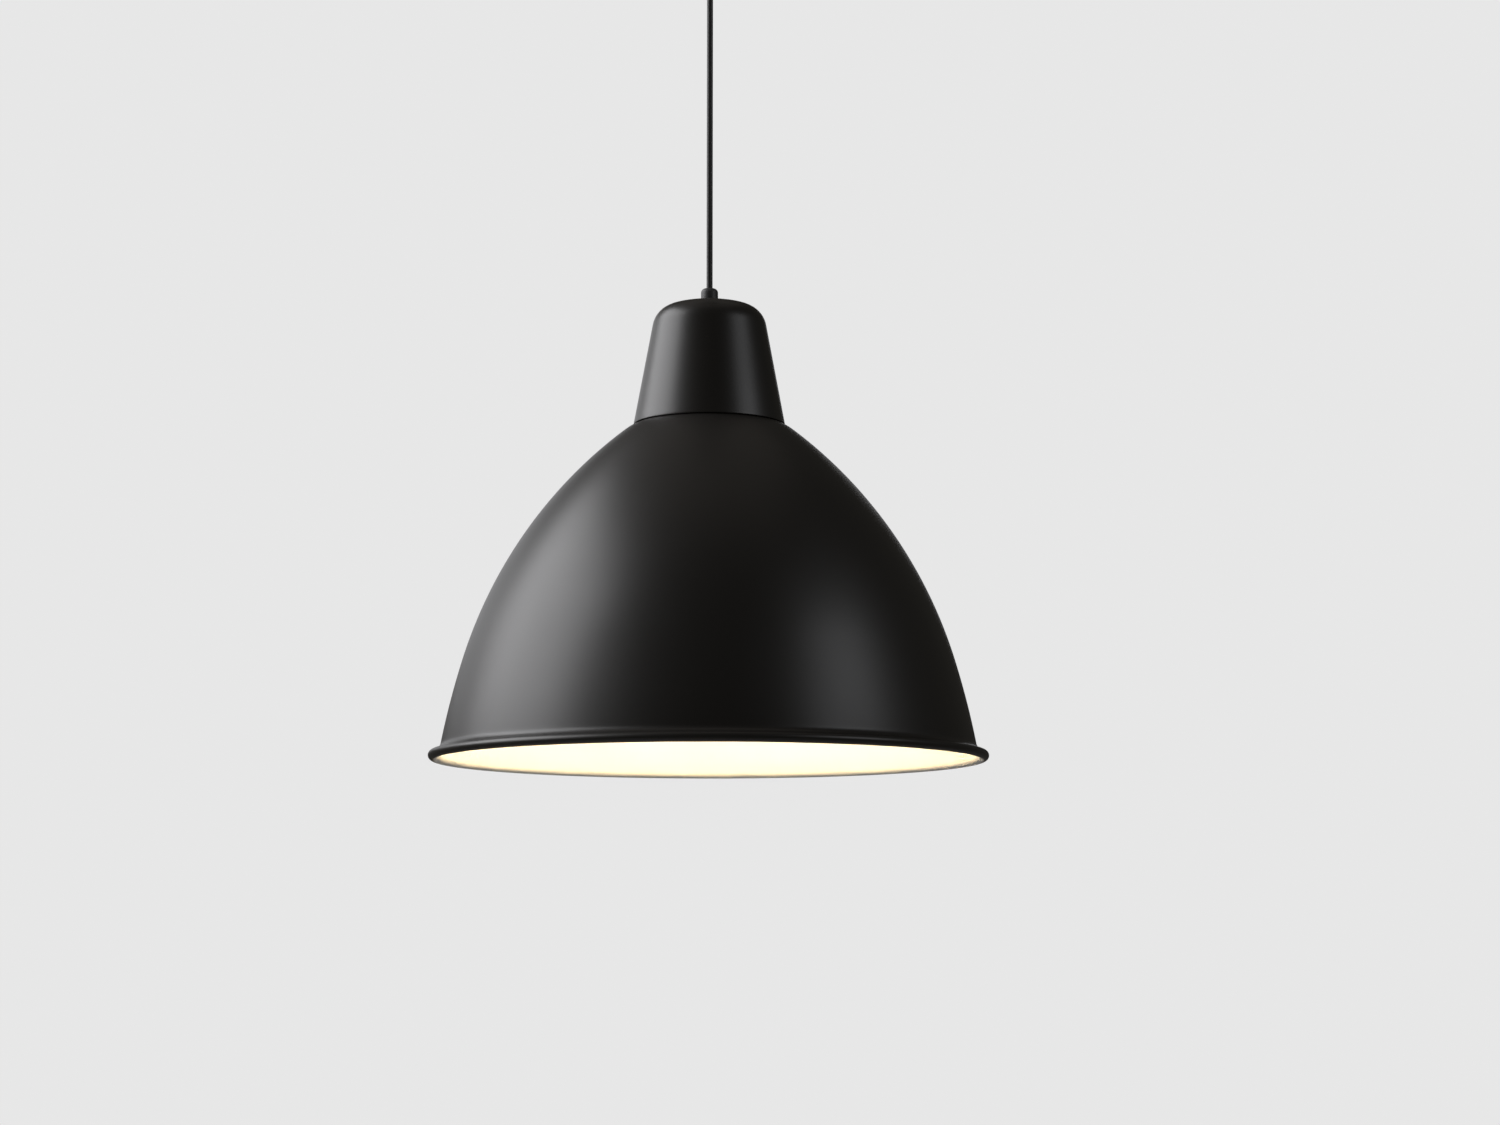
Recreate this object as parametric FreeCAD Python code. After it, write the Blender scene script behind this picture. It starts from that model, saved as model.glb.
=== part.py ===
import FreeCAD, Part
import math
import os

# Pendant ceiling light: a spun-metal bell shade on a cord, hung from a hook under a ceiling cup.
# Millimetres, +Z up.  The origin is the middle of the ceiling plate's top face, and the light
# hangs below it.  Heights of the lamp's own pieces are given above the plane of the shade's rim.

os.makedirs("parts", exist_ok=True)
V = FreeCAD.Vector
UP = V(0, 0, 1)

# ---- driving dimensions -------------------------------------------------------------------
RIM_DROP = 628.0            # ceiling face down to the plane of the rim bead
RUN_GAP = 0.1               # between linked wires, and round the cord where it is a running fit
FREE_GAP = 0.35             # between pieces that move past each other

# shade: outer skin from the rim up to the land that the lampholder sits on
SHADE_WALL = 0.8
SHADE_FOOT = (181.5, 8.0)   # radius and height where the bell ends and the rim flare starts
SHADE_LEAN = 10.86          # degrees off vertical at the foot
SHADE_ARCS = [(563.0, 6.1), (316.0, 35.1), (38.6, 12.0)]   # radius, degrees: wall to shoulder
LAND_BEND_R = 20.0          # last bend, into the flat land
SHADE_HOLE_R = 20.2         # standard 40 mm lampholder hole
SHADE_SPLIT = 102.0         # height where the one spun bell is parted into two nodes
RIM_R = 190.0               # outermost radius of the rolled bead
BEAD_R = 3.25

# socket cover
COVER_WALL = 1.5
COVER_LEAN = 10.5           # degrees off vertical
COVER_FOOT_R = 52.3
COVER_SHOULDER_Z = 298.5    # height where the side turns into the shoulder
COVER_SHOULDER_R = 17.0
COVER_DOME_DEG = 15.0       # slope of the top where the shoulder ends
COVER_LIFT = 0.05           # extra room under the cover's foot

# suspension
CORD_R = 2.1
CORD_LOW = 250.0            # height of the cord's lower end, inside the lampholder cap
CORD_TOP_Z = -56.0
LEAD_R = 0.8
LEAD_SIDE = 0.95            # each lead's distance from the cord's axis where it leaves the sheath
PLATE_R = 33.0
PLATE_T = 2.0
PLATE_BOSS_R = 7.0
PLATE_BOSS_Z = -7.0
PLATE_HOLE_R = 2.25
PLATE_HOLE_PITCH = 50.0
HOOK_WIRE_R = 1.75
HOOK_BOWL_R = 7.0
HOOK_STEM_END = -9.5
HOOK_NUT_AF = 7.0
HOOK_NUT_H = 2.4
HOOK_BEND_R = 5.0           # where the stem turns aside, above the bowl
HOOK_ASIDE = 50.0           # degrees
HOOK_SWEEP = 255.0          # degrees round the bowl
RING_WIRE_R = 1.5
RING_R = 7.5
EYE_R = 4.0
EYE_WIRE_R = 1.5

# ceiling cup
CUP_TOP_Z = -7.0
CUP_BOTTOM_Z = -72.0
CUP_R = 50.0
CUP_WALL = 1.2
CUP_LEAN = 10.5
CUP_CORNER_R = 12.0

# M10 x 1 hollow bushes
BUSH_R = 4.95
BUSH_HOLE_R = 5.1
BUSH_NUT_AF = 14.0
BUSH_NUT_H = 3.5

# lampholder and bulb, E27
SKIRT_R = 19.7
SKIRT_LOW = 196.0
INSERT_LOW = 224.0
SHELL_R = 13.9
SHELL_T = 0.4
CAP_R = 13.1
CAP_LOW = 195.0
TIP_TOP = 222.0
GLOBE_R = 30.0
GLOBE_Z = 143.0
GLOBE_WALL = 1.2
GLOBE_EDGE_R = 26.5


# ---- helpers ------------------------------------------------------------------------------
def level(height):
    """Z of a height given above the rim plane."""
    return height - RIM_DROP


class Outline:
    """Lines and tangent arcs drawn in the X-Z plane; headings in degrees from +X towards +Z."""

    def __init__(self, x, z, heading=90.0):
        self.first = V(x, 0, z)
        self.here = self.first
        self.heading = heading
        self.edges = []

    def _along(self, degrees):
        return V(math.cos(math.radians(degrees)), 0, math.sin(math.radians(degrees)))

    def to(self, x, z):
        target = V(x, 0, z)
        self.edges.append(Part.LineSegment(self.here, target).toShape())
        self.heading = math.degrees(math.atan2(z - self.here.z, x - self.here.x))
        self.here = target
        return self

    def run(self, length):
        target = self.here + self._along(self.heading) * length
        return self.to(target.x, target.z)

    def bend(self, radius, degrees):
        """A tangent arc: left for positive degrees, right for negative."""
        side = 90.0 if degrees > 0 else -90.0
        centre = self.here + self._along(self.heading + side) * radius
        middle = centre + self._along(self.heading + degrees / 2 - side) * radius
        end = centre + self._along(self.heading + degrees - side) * radius
        self.edges.append(Part.Arc(self.here, middle, end).toShape())
        self.here = end
        self.heading += degrees
        return self

    def closed(self):
        if (self.here - self.first).Length > 1e-6:
            self.to(self.first.x, self.first.z)
        return Part.Face(Part.Wire(Part.sortEdges(self.edges)[0]))

    def turned(self):
        return solid_of(self.closed().revolve(V(0, 0, 0), UP, 360))


def solid_of(shape):
    """The one solid in a shape, facing outwards."""
    solid = shape.Solids[0] if shape.Solids else Part.Solid(shape.Shells[0])
    if solid.Volume < 0:
        solid.reverse()
    return solid


def shell_of(start, heading, bends, wall):
    """The outer and inner lines of a sheet-metal wall; bends are (radius, degrees) to the left."""
    inward = math.radians(heading + 90.0)
    outer = Outline(start[0], start[1], heading)
    inner = Outline(start[0] + wall * math.cos(inward), start[1] + wall * math.sin(inward), heading)
    for radius, degrees in bends:
        outer.bend(radius, degrees)
        inner.bend(radius - wall, degrees)
    return outer, inner


def joined(outer, inner, rim_edges=None):
    """Closes an outer and an inner outline into one profile and turns it."""
    edges = outer.edges + inner.edges
    edges.append(Part.LineSegment(outer.here, inner.here).toShape())
    if rim_edges is None:
        rim_edges = [Part.LineSegment(outer.first, inner.first).toShape()]
    face = Part.Face(Part.Wire(Part.sortEdges(edges + rim_edges)[0]))
    return solid_of(face.revolve(V(0, 0, 0), UP, 360))


def rod(radius, low, high, x=0.0, y=0.0):
    return Part.makeCylinder(radius, high - low, V(x, y, low), UP)


def bar(radius, start, end):
    """A round bar between two points."""
    return Part.makeCylinder(radius, (end - start).Length, start, end - start)


def tube(outer, inner, low, high):
    return rod(outer, low, high).cut(rod(inner, low, high))


def block(x_range, y_range, z_range):
    size = [x_range[1] - x_range[0], y_range[1] - y_range[0], z_range[1] - z_range[0]]
    return Part.makeBox(size[0], size[1], size[2], V(x_range[0], y_range[0], z_range[0]))


def hexagon(across_flats, low, high):
    """A nut blank: a hexagonal prism whose upper corners are turned off at 45 degrees."""
    corner_r = across_flats / math.sqrt(3.0)
    angles = [math.radians(60 * k) for k in range(7)]
    corners = [V(corner_r * math.cos(a), corner_r * math.sin(a), low) for a in angles]
    prism = Part.Face(Part.makePolygon(corners)).extrude(UP * (high - low))
    bevel_h = 2.0
    start = high - 0.7 * bevel_h
    bevel = Part.makeCone(corner_r + 0.8 * bevel_h, corner_r - 0.2 * bevel_h, bevel_h, V(0, 0, start), UP)
    keep = rod(corner_r + 0.5 * bevel_h, low, start).fuse(bevel)
    return prism.common(keep)


def slotted_screw(tip, head_seat, shank_r, head_r, head_h):
    """A cheese-head screw: the shank runs from tip to head_seat, the head stands beyond it."""
    out = (head_seat - tip).normalize()
    shank = bar(shank_r, tip, head_seat)
    head = Part.makeCylinder(head_r, head_h, head_seat, out)
    across = V(0, 1, 0) if abs(out.y) < 0.5 else V(1, 0, 0)
    side = out.cross(across)
    slot_w = 0.6
    slot = Part.makeBox(2.4 * head_r, slot_w, head_h / 2)
    slot.translate(V(-1.2 * head_r, -slot_w / 2, 0))
    slot.transformShape(frame_matrix(across, side, out, head_seat + out * head_h / 2))
    return shank.fuse(head.cut(slot)).removeSplitter()


def frame_matrix(x_axis, y_axis, z_axis, origin):
    return FreeCAD.Matrix(x_axis.x, y_axis.x, z_axis.x, origin.x,
                          x_axis.y, y_axis.y, z_axis.y, origin.y,
                          x_axis.z, y_axis.z, z_axis.z, origin.z,
                          0, 0, 0, 1)


def swept(edges, radius):
    """A round wire along a path of lines and tangent arcs."""
    path = Part.Wire(edges)
    first = path.OrderedEdges[0]
    start = first.valueAt(first.FirstParameter)
    along = first.tangentAt(first.FirstParameter)
    section = Part.Wire([Part.Circle(start, along, radius).toShape()])
    body = solid_of(path.makePipeShell([section], True, False))
    filled = body.Volume / (math.pi * radius ** 2 * path.Length)
    print("  swept wire: length %.1f, volume %.4f of section x length" % (path.Length, filled))
    return body


def route(points):
    """Straight runs joined by tangent arcs, each as large as its two runs allow."""
    edges = []
    here = points[0]
    for k in range(1, len(points) - 1):
        before = points[k - 1] - points[k]
        after = points[k + 1] - points[k]
        trim = 0.45 * min(before.Length, after.Length)
        turn = math.pi - before.getAngle(after)
        radius = trim / math.tan(turn / 2)
        print("  bend %d: radius %.1f, turn %.0f degrees" % (k, radius, math.degrees(turn)))
        unit_before = V(before).normalize()
        unit_after = V(after).normalize()
        start = points[k] + unit_before * trim
        end = points[k] + unit_after * trim
        inside = (unit_before + unit_after).normalize()
        middle = points[k] + inside * (radius / math.cos(turn / 2) - radius)
        edges.append(Part.LineSegment(here, start).toShape())
        edges.append(Part.Arc(start, middle, end).toShape())
        here = end
    edges.append(Part.LineSegment(here, points[-1]).toShape())
    return edges


def save(name, shape):
    solids = shape.Solids
    kept = solids[0] if len(solids) == 1 else Part.Compound(solids)
    valid = all(s.isValid() for s in solids)
    box = kept.BoundBox
    print("%-22s solids %d  valid %s  volume %9.1f  z %.1f to %.1f"
          % (name, len(solids), valid, kept.Volume, box.ZMin, box.ZMax))
    kept.exportStep("parts/%s.step" % name)


# ---- ceiling fixing -----------------------------------------------------------------------
def ceiling_plate():
    plate = rod(PLATE_R, -PLATE_T, 0).fuse(rod(PLATE_BOSS_R, PLATE_BOSS_Z, -PLATE_T))
    for side in (-1, 1):
        plate = plate.cut(rod(PLATE_HOLE_R, -PLATE_T, 0, x=side * PLATE_HOLE_PITCH / 2))
    stem_hole = rod(HOOK_WIRE_R, PLATE_BOSS_Z, -PLATE_T / 2)
    return plate.cut(stem_hole).removeSplitter()


def hook_outline():
    """The stem comes down the axis, turns aside and goes round a bowl centred under the stem."""
    aside = math.radians(HOOK_ASIDE)
    slant = (HOOK_BOWL_R * math.cos(aside) - HOOK_BEND_R * (1 - math.cos(aside))) / math.sin(aside)
    hook = Outline(0, -PLATE_T / 2, 270)
    hook.run(-PLATE_T / 2 - HOOK_STEM_END)
    hook.bend(HOOK_BEND_R, HOOK_ASIDE)
    hook.run(slant)
    return hook


def bowl_centre_z():
    hook = hook_outline()
    return hook.here.z - HOOK_BOWL_R * math.sin(math.radians(HOOK_ASIDE))


def ceiling_hook():
    return swept(hook_outline().bend(HOOK_BOWL_R, -HOOK_SWEEP).edges, HOOK_WIRE_R)


def hook_nut():
    low = PLATE_BOSS_Z - HOOK_NUT_H
    return hexagon(HOOK_NUT_AF, low, PLATE_BOSS_Z).cut(rod(HOOK_WIRE_R, low, PLATE_BOSS_Z))


# each link hangs in the one above it: hook wire, ring, eye
HOOK_WIRE_Z = bowl_centre_z() - HOOK_BOWL_R
RING_Z = HOOK_WIRE_Z + HOOK_WIRE_R + RUN_GAP + RING_WIRE_R - RING_R
RING_LOW_Z = RING_Z - RING_R
EYE_Z = RING_LOW_Z + RING_WIRE_R + RUN_GAP + EYE_WIRE_R - EYE_R
print("hook wire z %.2f, ring centre z %.2f, ring foot z %.2f, eye centre z %.2f"
      % (HOOK_WIRE_Z, RING_Z, RING_LOW_Z, EYE_Z))


def suspension_ring():
    """Lies in the Y-Z plane, round the hook's wire."""
    return Part.makeTorus(RING_R, RING_WIRE_R, V(0, 0, RING_Z), V(1, 0, 0))


# ---- cord hanger: an eye held in two clamped halves, with the terminal block beside it --------
HALF_TOP = EYE_Z - EYE_R - 3.0
HALF_LOW = -63.0
HALF_X = 9.0
HALF_Y = 8.0
HALF_CORNER_R = 1.5
COVER_Y = -5.5
SHANK_R = 1.75
BUTTON_R = 3.2
BUTTON_Z = (HALF_TOP - 5.0, HALF_TOP - 3.5)
WINDOW_Z = (-56.0, BUTTON_Z[0])
BLOCK_X = 9.0
BLOCK_Y = (8.0, 22.0)
BLOCK_Z = (-59.5, -47.5)
POLE_X = 4.5
POLE_Z = (BLOCK_Z[0] + BLOCK_Z[1]) / 2
POLE_R = 2.6
POLE_BORE_R = 1.5
SHELF_Z = (-62.0, BLOCK_Z[0])
CLAMP_SCREW_X = 5.6
CLAMP_SCREW_Z = -60.2
CLAMP_SCREW_R = 1.4
FIXING_SCREW_R = 1.25
POLE_SCREW_R = 1.2
FIXING_Y = (BLOCK_Y[0] + BLOCK_Y[1]) / 2
SCREW_Y = (11.5, 18.5)


def hanger_eye():
    ring = Part.makeTorus(EYE_R, EYE_WIRE_R, V(0, 0, EYE_Z), V(0, 1, 0))
    shank = rod(SHANK_R, BUTTON_Z[1], EYE_Z - EYE_R)
    button = rod(BUTTON_R, BUTTON_Z[0], BUTTON_Z[1])
    return ring.fuse(shank).fuse(button).removeSplitter()


def hanger_hollows():
    """What both halves leave free: the eye's shank and button, and the cord's seat."""
    shank = rod(SHANK_R + RUN_GAP, BUTTON_Z[1], HALF_TOP)
    button = rod(BUTTON_R + RUN_GAP, BUTTON_Z[0], BUTTON_Z[1] + RUN_GAP)
    window = block((-POLE_X - 1.5, POLE_X + 1.5), (-2.2, HALF_Y), WINDOW_Z)
    seat = rod(CORD_R - RUN_GAP, HALF_LOW, WINDOW_Z[0])
    return [shank, button, window, seat]


def clamp_screw_line(x):
    return V(x, HALF_Y - 1.5, CLAMP_SCREW_Z), V(x, COVER_Y, CLAMP_SCREW_Z)


def hanger_body():
    body = block((-HALF_X, HALF_X), (0, HALF_Y), (HALF_LOW, HALF_TOP))
    back = [e for e in body.Edges if is_upright(e) and e.BoundBox.YMax > HALF_CORNER_R]
    body = body.makeFillet(HALF_CORNER_R, back)
    shelf = block((-BLOCK_X, BLOCK_X), (HALF_Y - 3.0, BLOCK_Y[1]), SHELF_Z)
    body = body.fuse(shelf)
    for hollow in hanger_hollows():
        body = body.cut(hollow)
    for x in (-CLAMP_SCREW_X, CLAMP_SCREW_X):
        tip, seat = clamp_screw_line(x)
        body = body.cut(bar(CLAMP_SCREW_R, tip, seat))
    fixing_hole = rod(FIXING_SCREW_R + RUN_GAP, SHELF_Z[0], SHELF_Z[1], y=FIXING_Y)
    return body.cut(fixing_hole).removeSplitter()


def is_upright(edge):
    box = edge.BoundBox
    return box.XLength < 1e-6 and box.YLength < 1e-6


def hanger_cover():
    cover = block((-HALF_X, HALF_X), (COVER_Y, 0), (HALF_LOW, HALF_TOP))
    front = [e for e in cover.Edges if is_upright(e) and e.BoundBox.YMin < -HALF_CORNER_R]
    cover = cover.makeFillet(HALF_CORNER_R, front)
    for hollow in hanger_hollows():
        cover = cover.cut(hollow)
    for x in (-CLAMP_SCREW_X, CLAMP_SCREW_X):
        tip, seat = clamp_screw_line(x)
        cover = cover.cut(bar(CLAMP_SCREW_R, tip, seat))
    return cover.removeSplitter()


def clamp_screws():
    screws = []
    for x in (-CLAMP_SCREW_X, CLAMP_SCREW_X):
        tip, seat = clamp_screw_line(x)
        screws.append(slotted_screw(tip, seat, CLAMP_SCREW_R, 2.6, 1.8))
    return Part.Compound(screws)


def terminal_block():
    body = block((-BLOCK_X, BLOCK_X), BLOCK_Y, BLOCK_Z)
    body = body.makeFillet(1.2, [e for e in body.Edges if is_upright(e)])
    groove = block((-0.8, 0.8), BLOCK_Y, (BLOCK_Z[1] - 3.0, BLOCK_Z[1]))
    body = body.cut(groove)
    for x in (-POLE_X, POLE_X):
        body = body.cut(bar(POLE_R, V(x, BLOCK_Y[0], POLE_Z), V(x, BLOCK_Y[1], POLE_Z)))
        for y in SCREW_Y:
            body = body.cut(rod(2.1, POLE_Z, BLOCK_Z[1], x=x, y=y))
    return body.cut(rod(FIXING_SCREW_R, BLOCK_Z[0], POLE_Z, y=FIXING_Y)).removeSplitter()


def terminal_tubes():
    tubes = []
    for x in (-POLE_X, POLE_X):
        start = V(x, BLOCK_Y[0] + 1.0, POLE_Z)
        end = V(x, BLOCK_Y[1] - 1.0, POLE_Z)
        pole = bar(POLE_R, start, end).cut(bar(POLE_BORE_R, start, end))
        for y in SCREW_Y:
            pole = pole.cut(rod(POLE_SCREW_R, POLE_Z, BLOCK_Z[1], x=x, y=y))
        tubes.append(pole.removeSplitter())
    return Part.Compound(tubes)


def terminal_screws():
    screws = []
    for x in (-POLE_X, POLE_X):
        for y in SCREW_Y:
            tip = V(x, y, POLE_Z + 1.0)
            screws.append(slotted_screw(tip, V(x, y, POLE_Z + 3.4), POLE_SCREW_R, 1.9, 1.6))
    return Part.Compound(screws)


def terminal_fixing_screw():
    tip = V(0, FIXING_Y, POLE_Z - 1.0)
    return slotted_screw(tip, V(0, FIXING_Y, SHELF_Z[0]), FIXING_SCREW_R, 2.3, 1.4)


def upper_lead(side):
    """From the cord's top, out through the window and into the terminal tube."""
    return swept(route([V(side * LEAD_SIDE, 0, CORD_TOP_Z),
                        V(side * LEAD_SIDE, 0, POLE_Z),
                        V(side * POLE_X, BLOCK_Y[0] - 1.0, POLE_Z),
                        V(side * POLE_X, SCREW_Y[0] - 0.2, POLE_Z)]), LEAD_R)


def suspension_cord():
    return rod(CORD_R, level(CORD_LOW), CORD_TOP_Z)


# ---- ceiling cup --------------------------------------------------------------------------
def ceiling_cup():
    """A tapered cup, open to the ceiling, with a hole in its floor for the cord bush."""
    side = CUP_TOP_Z - CUP_BOTTOM_Z
    lean = math.radians(CUP_LEAN)
    bend_rise = CUP_CORNER_R * (1 - math.sin(lean))
    slant = (side - bend_rise) / math.cos(lean)
    outer = Outline(CUP_R, CUP_TOP_Z, 270 - CUP_LEAN).run(slant)
    inner = Outline(CUP_R - CUP_WALL / math.cos(lean), CUP_TOP_Z, 270 - CUP_LEAN)
    inner.run(slant + CUP_WALL * math.tan(lean))
    outer.bend(CUP_CORNER_R, -(90 - CUP_LEAN))
    inner.bend(CUP_CORNER_R - CUP_WALL, -(90 - CUP_LEAN))
    outer.to(BUSH_HOLE_R, outer.here.z)
    inner.to(BUSH_HOLE_R, inner.here.z)
    return joined(outer, inner)


CUP_BUSH_LOW = CUP_BOTTOM_Z - 11.0
CUP_BUSH_TOP = CUP_BOTTOM_Z + 7.0
CUP_BARREL_R = 6.2
CUP_FLANGE_R = 8.0
CUP_FLANGE_T = 2.5
CUP_SCREW_Z = CUP_BOTTOM_Z - 6.5
GRIP_SCREW_R = 1.5          # set screws that hold a bush to the cord
GRIP_SCREW_REACH = 9.0      # past the outside of every barrel
GRIP_HEAD_R = 2.4


def end_edges(shape, z):
    """The edges that lie flat at this height."""
    return [e for e in shape.Edges if abs(e.BoundBox.ZMin - z) < 0.01 and abs(e.BoundBox.ZMax - z) < 0.01]


def cup_bush():
    """Flange under the cup's floor, threaded stem through it, and a barrel for the grip screw."""
    barrel = rod(CUP_BARREL_R, CUP_BUSH_LOW, CUP_BOTTOM_Z)
    barrel = barrel.makeFillet(1.5, end_edges(barrel, CUP_BUSH_LOW))
    flange = rod(CUP_FLANGE_R, CUP_BOTTOM_Z - CUP_FLANGE_T, CUP_BOTTOM_Z)
    body = barrel.fuse(flange).fuse(rod(BUSH_R, CUP_BOTTOM_Z, CUP_BUSH_TOP))
    body = body.cut(rod(CORD_R + FREE_GAP, CUP_BUSH_LOW, CUP_BUSH_TOP))
    return body.cut(grip_screw_hole(CUP_SCREW_Z)).removeSplitter()


def grip_screw_hole(z):
    return bar(GRIP_SCREW_R, V(0, 0, z), V(GRIP_SCREW_REACH, 0, z))


def bush_nut(low):
    return hexagon(BUSH_NUT_AF, low, low + BUSH_NUT_H).cut(rod(BUSH_R, low, low + BUSH_NUT_H))


def cup_grip_screw():
    tip = V(CORD_R + FREE_GAP, 0, CUP_SCREW_Z)
    seat = V(CUP_BARREL_R + 1.0, 0, CUP_SCREW_Z)
    return slotted_screw(tip, seat, GRIP_SCREW_R, GRIP_HEAD_R, 2.0)


# ---- shade --------------------------------------------------------------------------------
def shade_bends():
    """Every arc of the bell, the last one into the flat land."""
    so_far = SHADE_LEAN + sum(degrees for _, degrees in SHADE_ARCS)
    return SHADE_ARCS + [(LAND_BEND_R, 90.0 - so_far)]


def shade_outlines():
    """Outer and inner skins from the foot to the edge of the lampholder hole, heights as levels."""
    foot = (SHADE_FOOT[0], level(SHADE_FOOT[1]))
    outer, inner = shell_of(foot, 90.0 + SHADE_LEAN, shade_bends(), SHADE_WALL)
    outer.to(SHADE_HOLE_R, outer.here.z)
    inner.to(SHADE_HOLE_R, inner.here.z)
    return outer, inner


def shoulder_end():
    """Where the bell's last arc ends, just under the edge of the socket cover."""
    foot = (SHADE_FOOT[0], level(SHADE_FOOT[1]))
    return shell_of(foot, 90.0 + SHADE_LEAN, SHADE_ARCS, SHADE_WALL)[0].here


LAND_Z = shade_outlines()[0].here.z
LAND_LOW_Z = LAND_Z - SHADE_WALL
SEAM = shoulder_end()
SEAM_SLOPE = 90.0 - SHADE_LEAN - sum(degrees for _, degrees in SHADE_ARCS)
print("land height %.2f, seam radius %.2f height %.2f"
      % (LAND_Z + RIM_DROP, SEAM.x, SEAM.z + RIM_DROP))


def shade_rim(outer, inner):
    """Outside, a flare into the rolled bead; inside, the wall bends out to the bead's lowest line."""
    lean = math.radians(SHADE_LEAN)
    bead = V(RIM_R - BEAD_R, 0, level(0))
    lowest = bead - V(0, 0, BEAD_R)
    foot = outer.first
    reach = foot - bead
    out = V(math.cos(lean), 0, math.sin(lean))
    flare_r = (reach.dot(reach) - BEAD_R ** 2) / (2 * (BEAD_R - reach.dot(out)))
    centre = foot + out * flare_r
    touch = centre + V(bead - centre).normalize() * flare_r
    flare = short_arc(centre, foot, touch)
    roll = Part.Arc(touch, bead + V(1, 0, -1).normalize() * BEAD_R, lowest).toShape()
    straight, bend_r = inner_bend(lowest.x - inner.first.x, inner.first.z - lowest.z, lean)
    bend_start = inner.first + V(math.sin(lean), 0, -math.cos(lean)) * straight
    bend = short_arc(lowest + V(0, 0, bend_r), bend_start, lowest)
    wall = Part.makeLine(inner.first, bend_start)
    print("rim flare radius %.2f, inner bend radius %.2f" % (flare_r, bend_r))
    return [flare, roll, bend, wall]


def inner_bend(way, drop, lean):
    """Straight length and bend radius that carry a leaning wall out by way and down by drop, to level."""
    det = math.sin(lean) * (1 - math.sin(lean)) - math.cos(lean) ** 2
    straight = (way * (1 - math.sin(lean)) - drop * math.cos(lean)) / det
    return straight, (drop * math.sin(lean) - way * math.cos(lean)) / det


def short_arc(centre, start, end):
    """The arc about centre from start to end, the short way."""
    from_centre, to_end = start - centre, end - centre
    half_way = (from_centre + to_end).normalize()
    return Part.Arc(start, centre + half_way * from_centre.Length, end).toShape()


def bell():
    """The whole spun shade, one sheet from the rolled bead to the lampholder hole."""
    outer, inner = shade_outlines()
    return joined(outer, inner, shade_rim(outer, inner))


BELL = bell()


def shade():
    """The bell's skirt and rim, up to the split."""
    return BELL.common(rod(RIM_R + 1.0, level(-2 * BEAD_R), level(SHADE_SPLIT)))


def shade_crown():
    """The bell from the split up to the land."""
    return BELL.common(rod(RIM_R + 1.0, level(SHADE_SPLIT), LAND_Z + 1.0))


# ---- socket cover -------------------------------------------------------------------------
def socket_cover():
    """A cone with a round shoulder and a slightly domed top; its foot follows the bell's slope."""
    lean = math.radians(COVER_LEAN)
    foot_z = SEAM.z + FREE_GAP + COVER_LIFT
    slant = (level(COVER_SHOULDER_Z) - foot_z) / math.cos(lean)
    shoulder = 90.0 - COVER_LEAN - COVER_DOME_DEG
    foot_rise = COVER_WALL * (math.tan(lean) + math.tan(math.radians(SEAM_SLOPE)))
    outer = Outline(COVER_FOOT_R, foot_z, 90.0 + COVER_LEAN).run(slant)
    inner = Outline(COVER_FOOT_R - COVER_WALL * math.cos(lean) - foot_rise * math.sin(lean),
                    foot_z - COVER_WALL * math.sin(lean) + foot_rise * math.cos(lean),
                    90.0 + COVER_LEAN).run(slant - foot_rise)
    outer.bend(COVER_SHOULDER_R, shoulder)
    inner.bend(COVER_SHOULDER_R - COVER_WALL, shoulder)
    dome_r = outer.here.x / math.sin(math.radians(COVER_DOME_DEG))
    for outline, radius in ((outer, dome_r), (inner, dome_r - COVER_WALL)):
        hole_angle = math.degrees(math.asin(BUSH_HOLE_R / radius))
        outline.bend(radius, COVER_DOME_DEG - hole_angle)
    print("cover top height %.2f, foot height %.2f" % (outer.here.z + RIM_DROP, foot_z + RIM_DROP))
    return joined(outer, inner)


COVER = socket_cover()
COVER_TOP_Z = COVER.BoundBox.ZMax
GRIP_R = 5.9
GRIP_TOP_Z = COVER_TOP_Z + 9.0
GRIP_STEM_LOW = COVER_TOP_Z - 8.5
SEAL_R = 3.4
SEAL_Z = (COVER_TOP_Z + 1.5, COVER_TOP_Z + 6.5)


def cord_grip():
    """The small round gland on the cover's top, with domed shoulders and a threaded stem."""
    knob = rod(GRIP_R, COVER_TOP_Z, GRIP_TOP_Z)
    knob = knob.makeFillet(3.0, end_edges(knob, GRIP_TOP_Z))
    body = knob.fuse(rod(BUSH_R, GRIP_STEM_LOW, COVER_TOP_Z))
    body = body.cut(rod(CORD_R + FREE_GAP, GRIP_STEM_LOW, GRIP_TOP_Z))
    return body.cut(rod(SEAL_R, SEAL_Z[0], SEAL_Z[1])).removeSplitter()


def grip_seal():
    return tube(SEAL_R, CORD_R + RUN_GAP, SEAL_Z[0], SEAL_Z[1])


def cord_grip_nut():
    """Under the cover's dome, low enough for the nut's corners to clear its curve."""
    return bush_nut(COVER_TOP_Z - COVER_WALL - FREE_GAP - BUSH_NUT_H)


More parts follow.
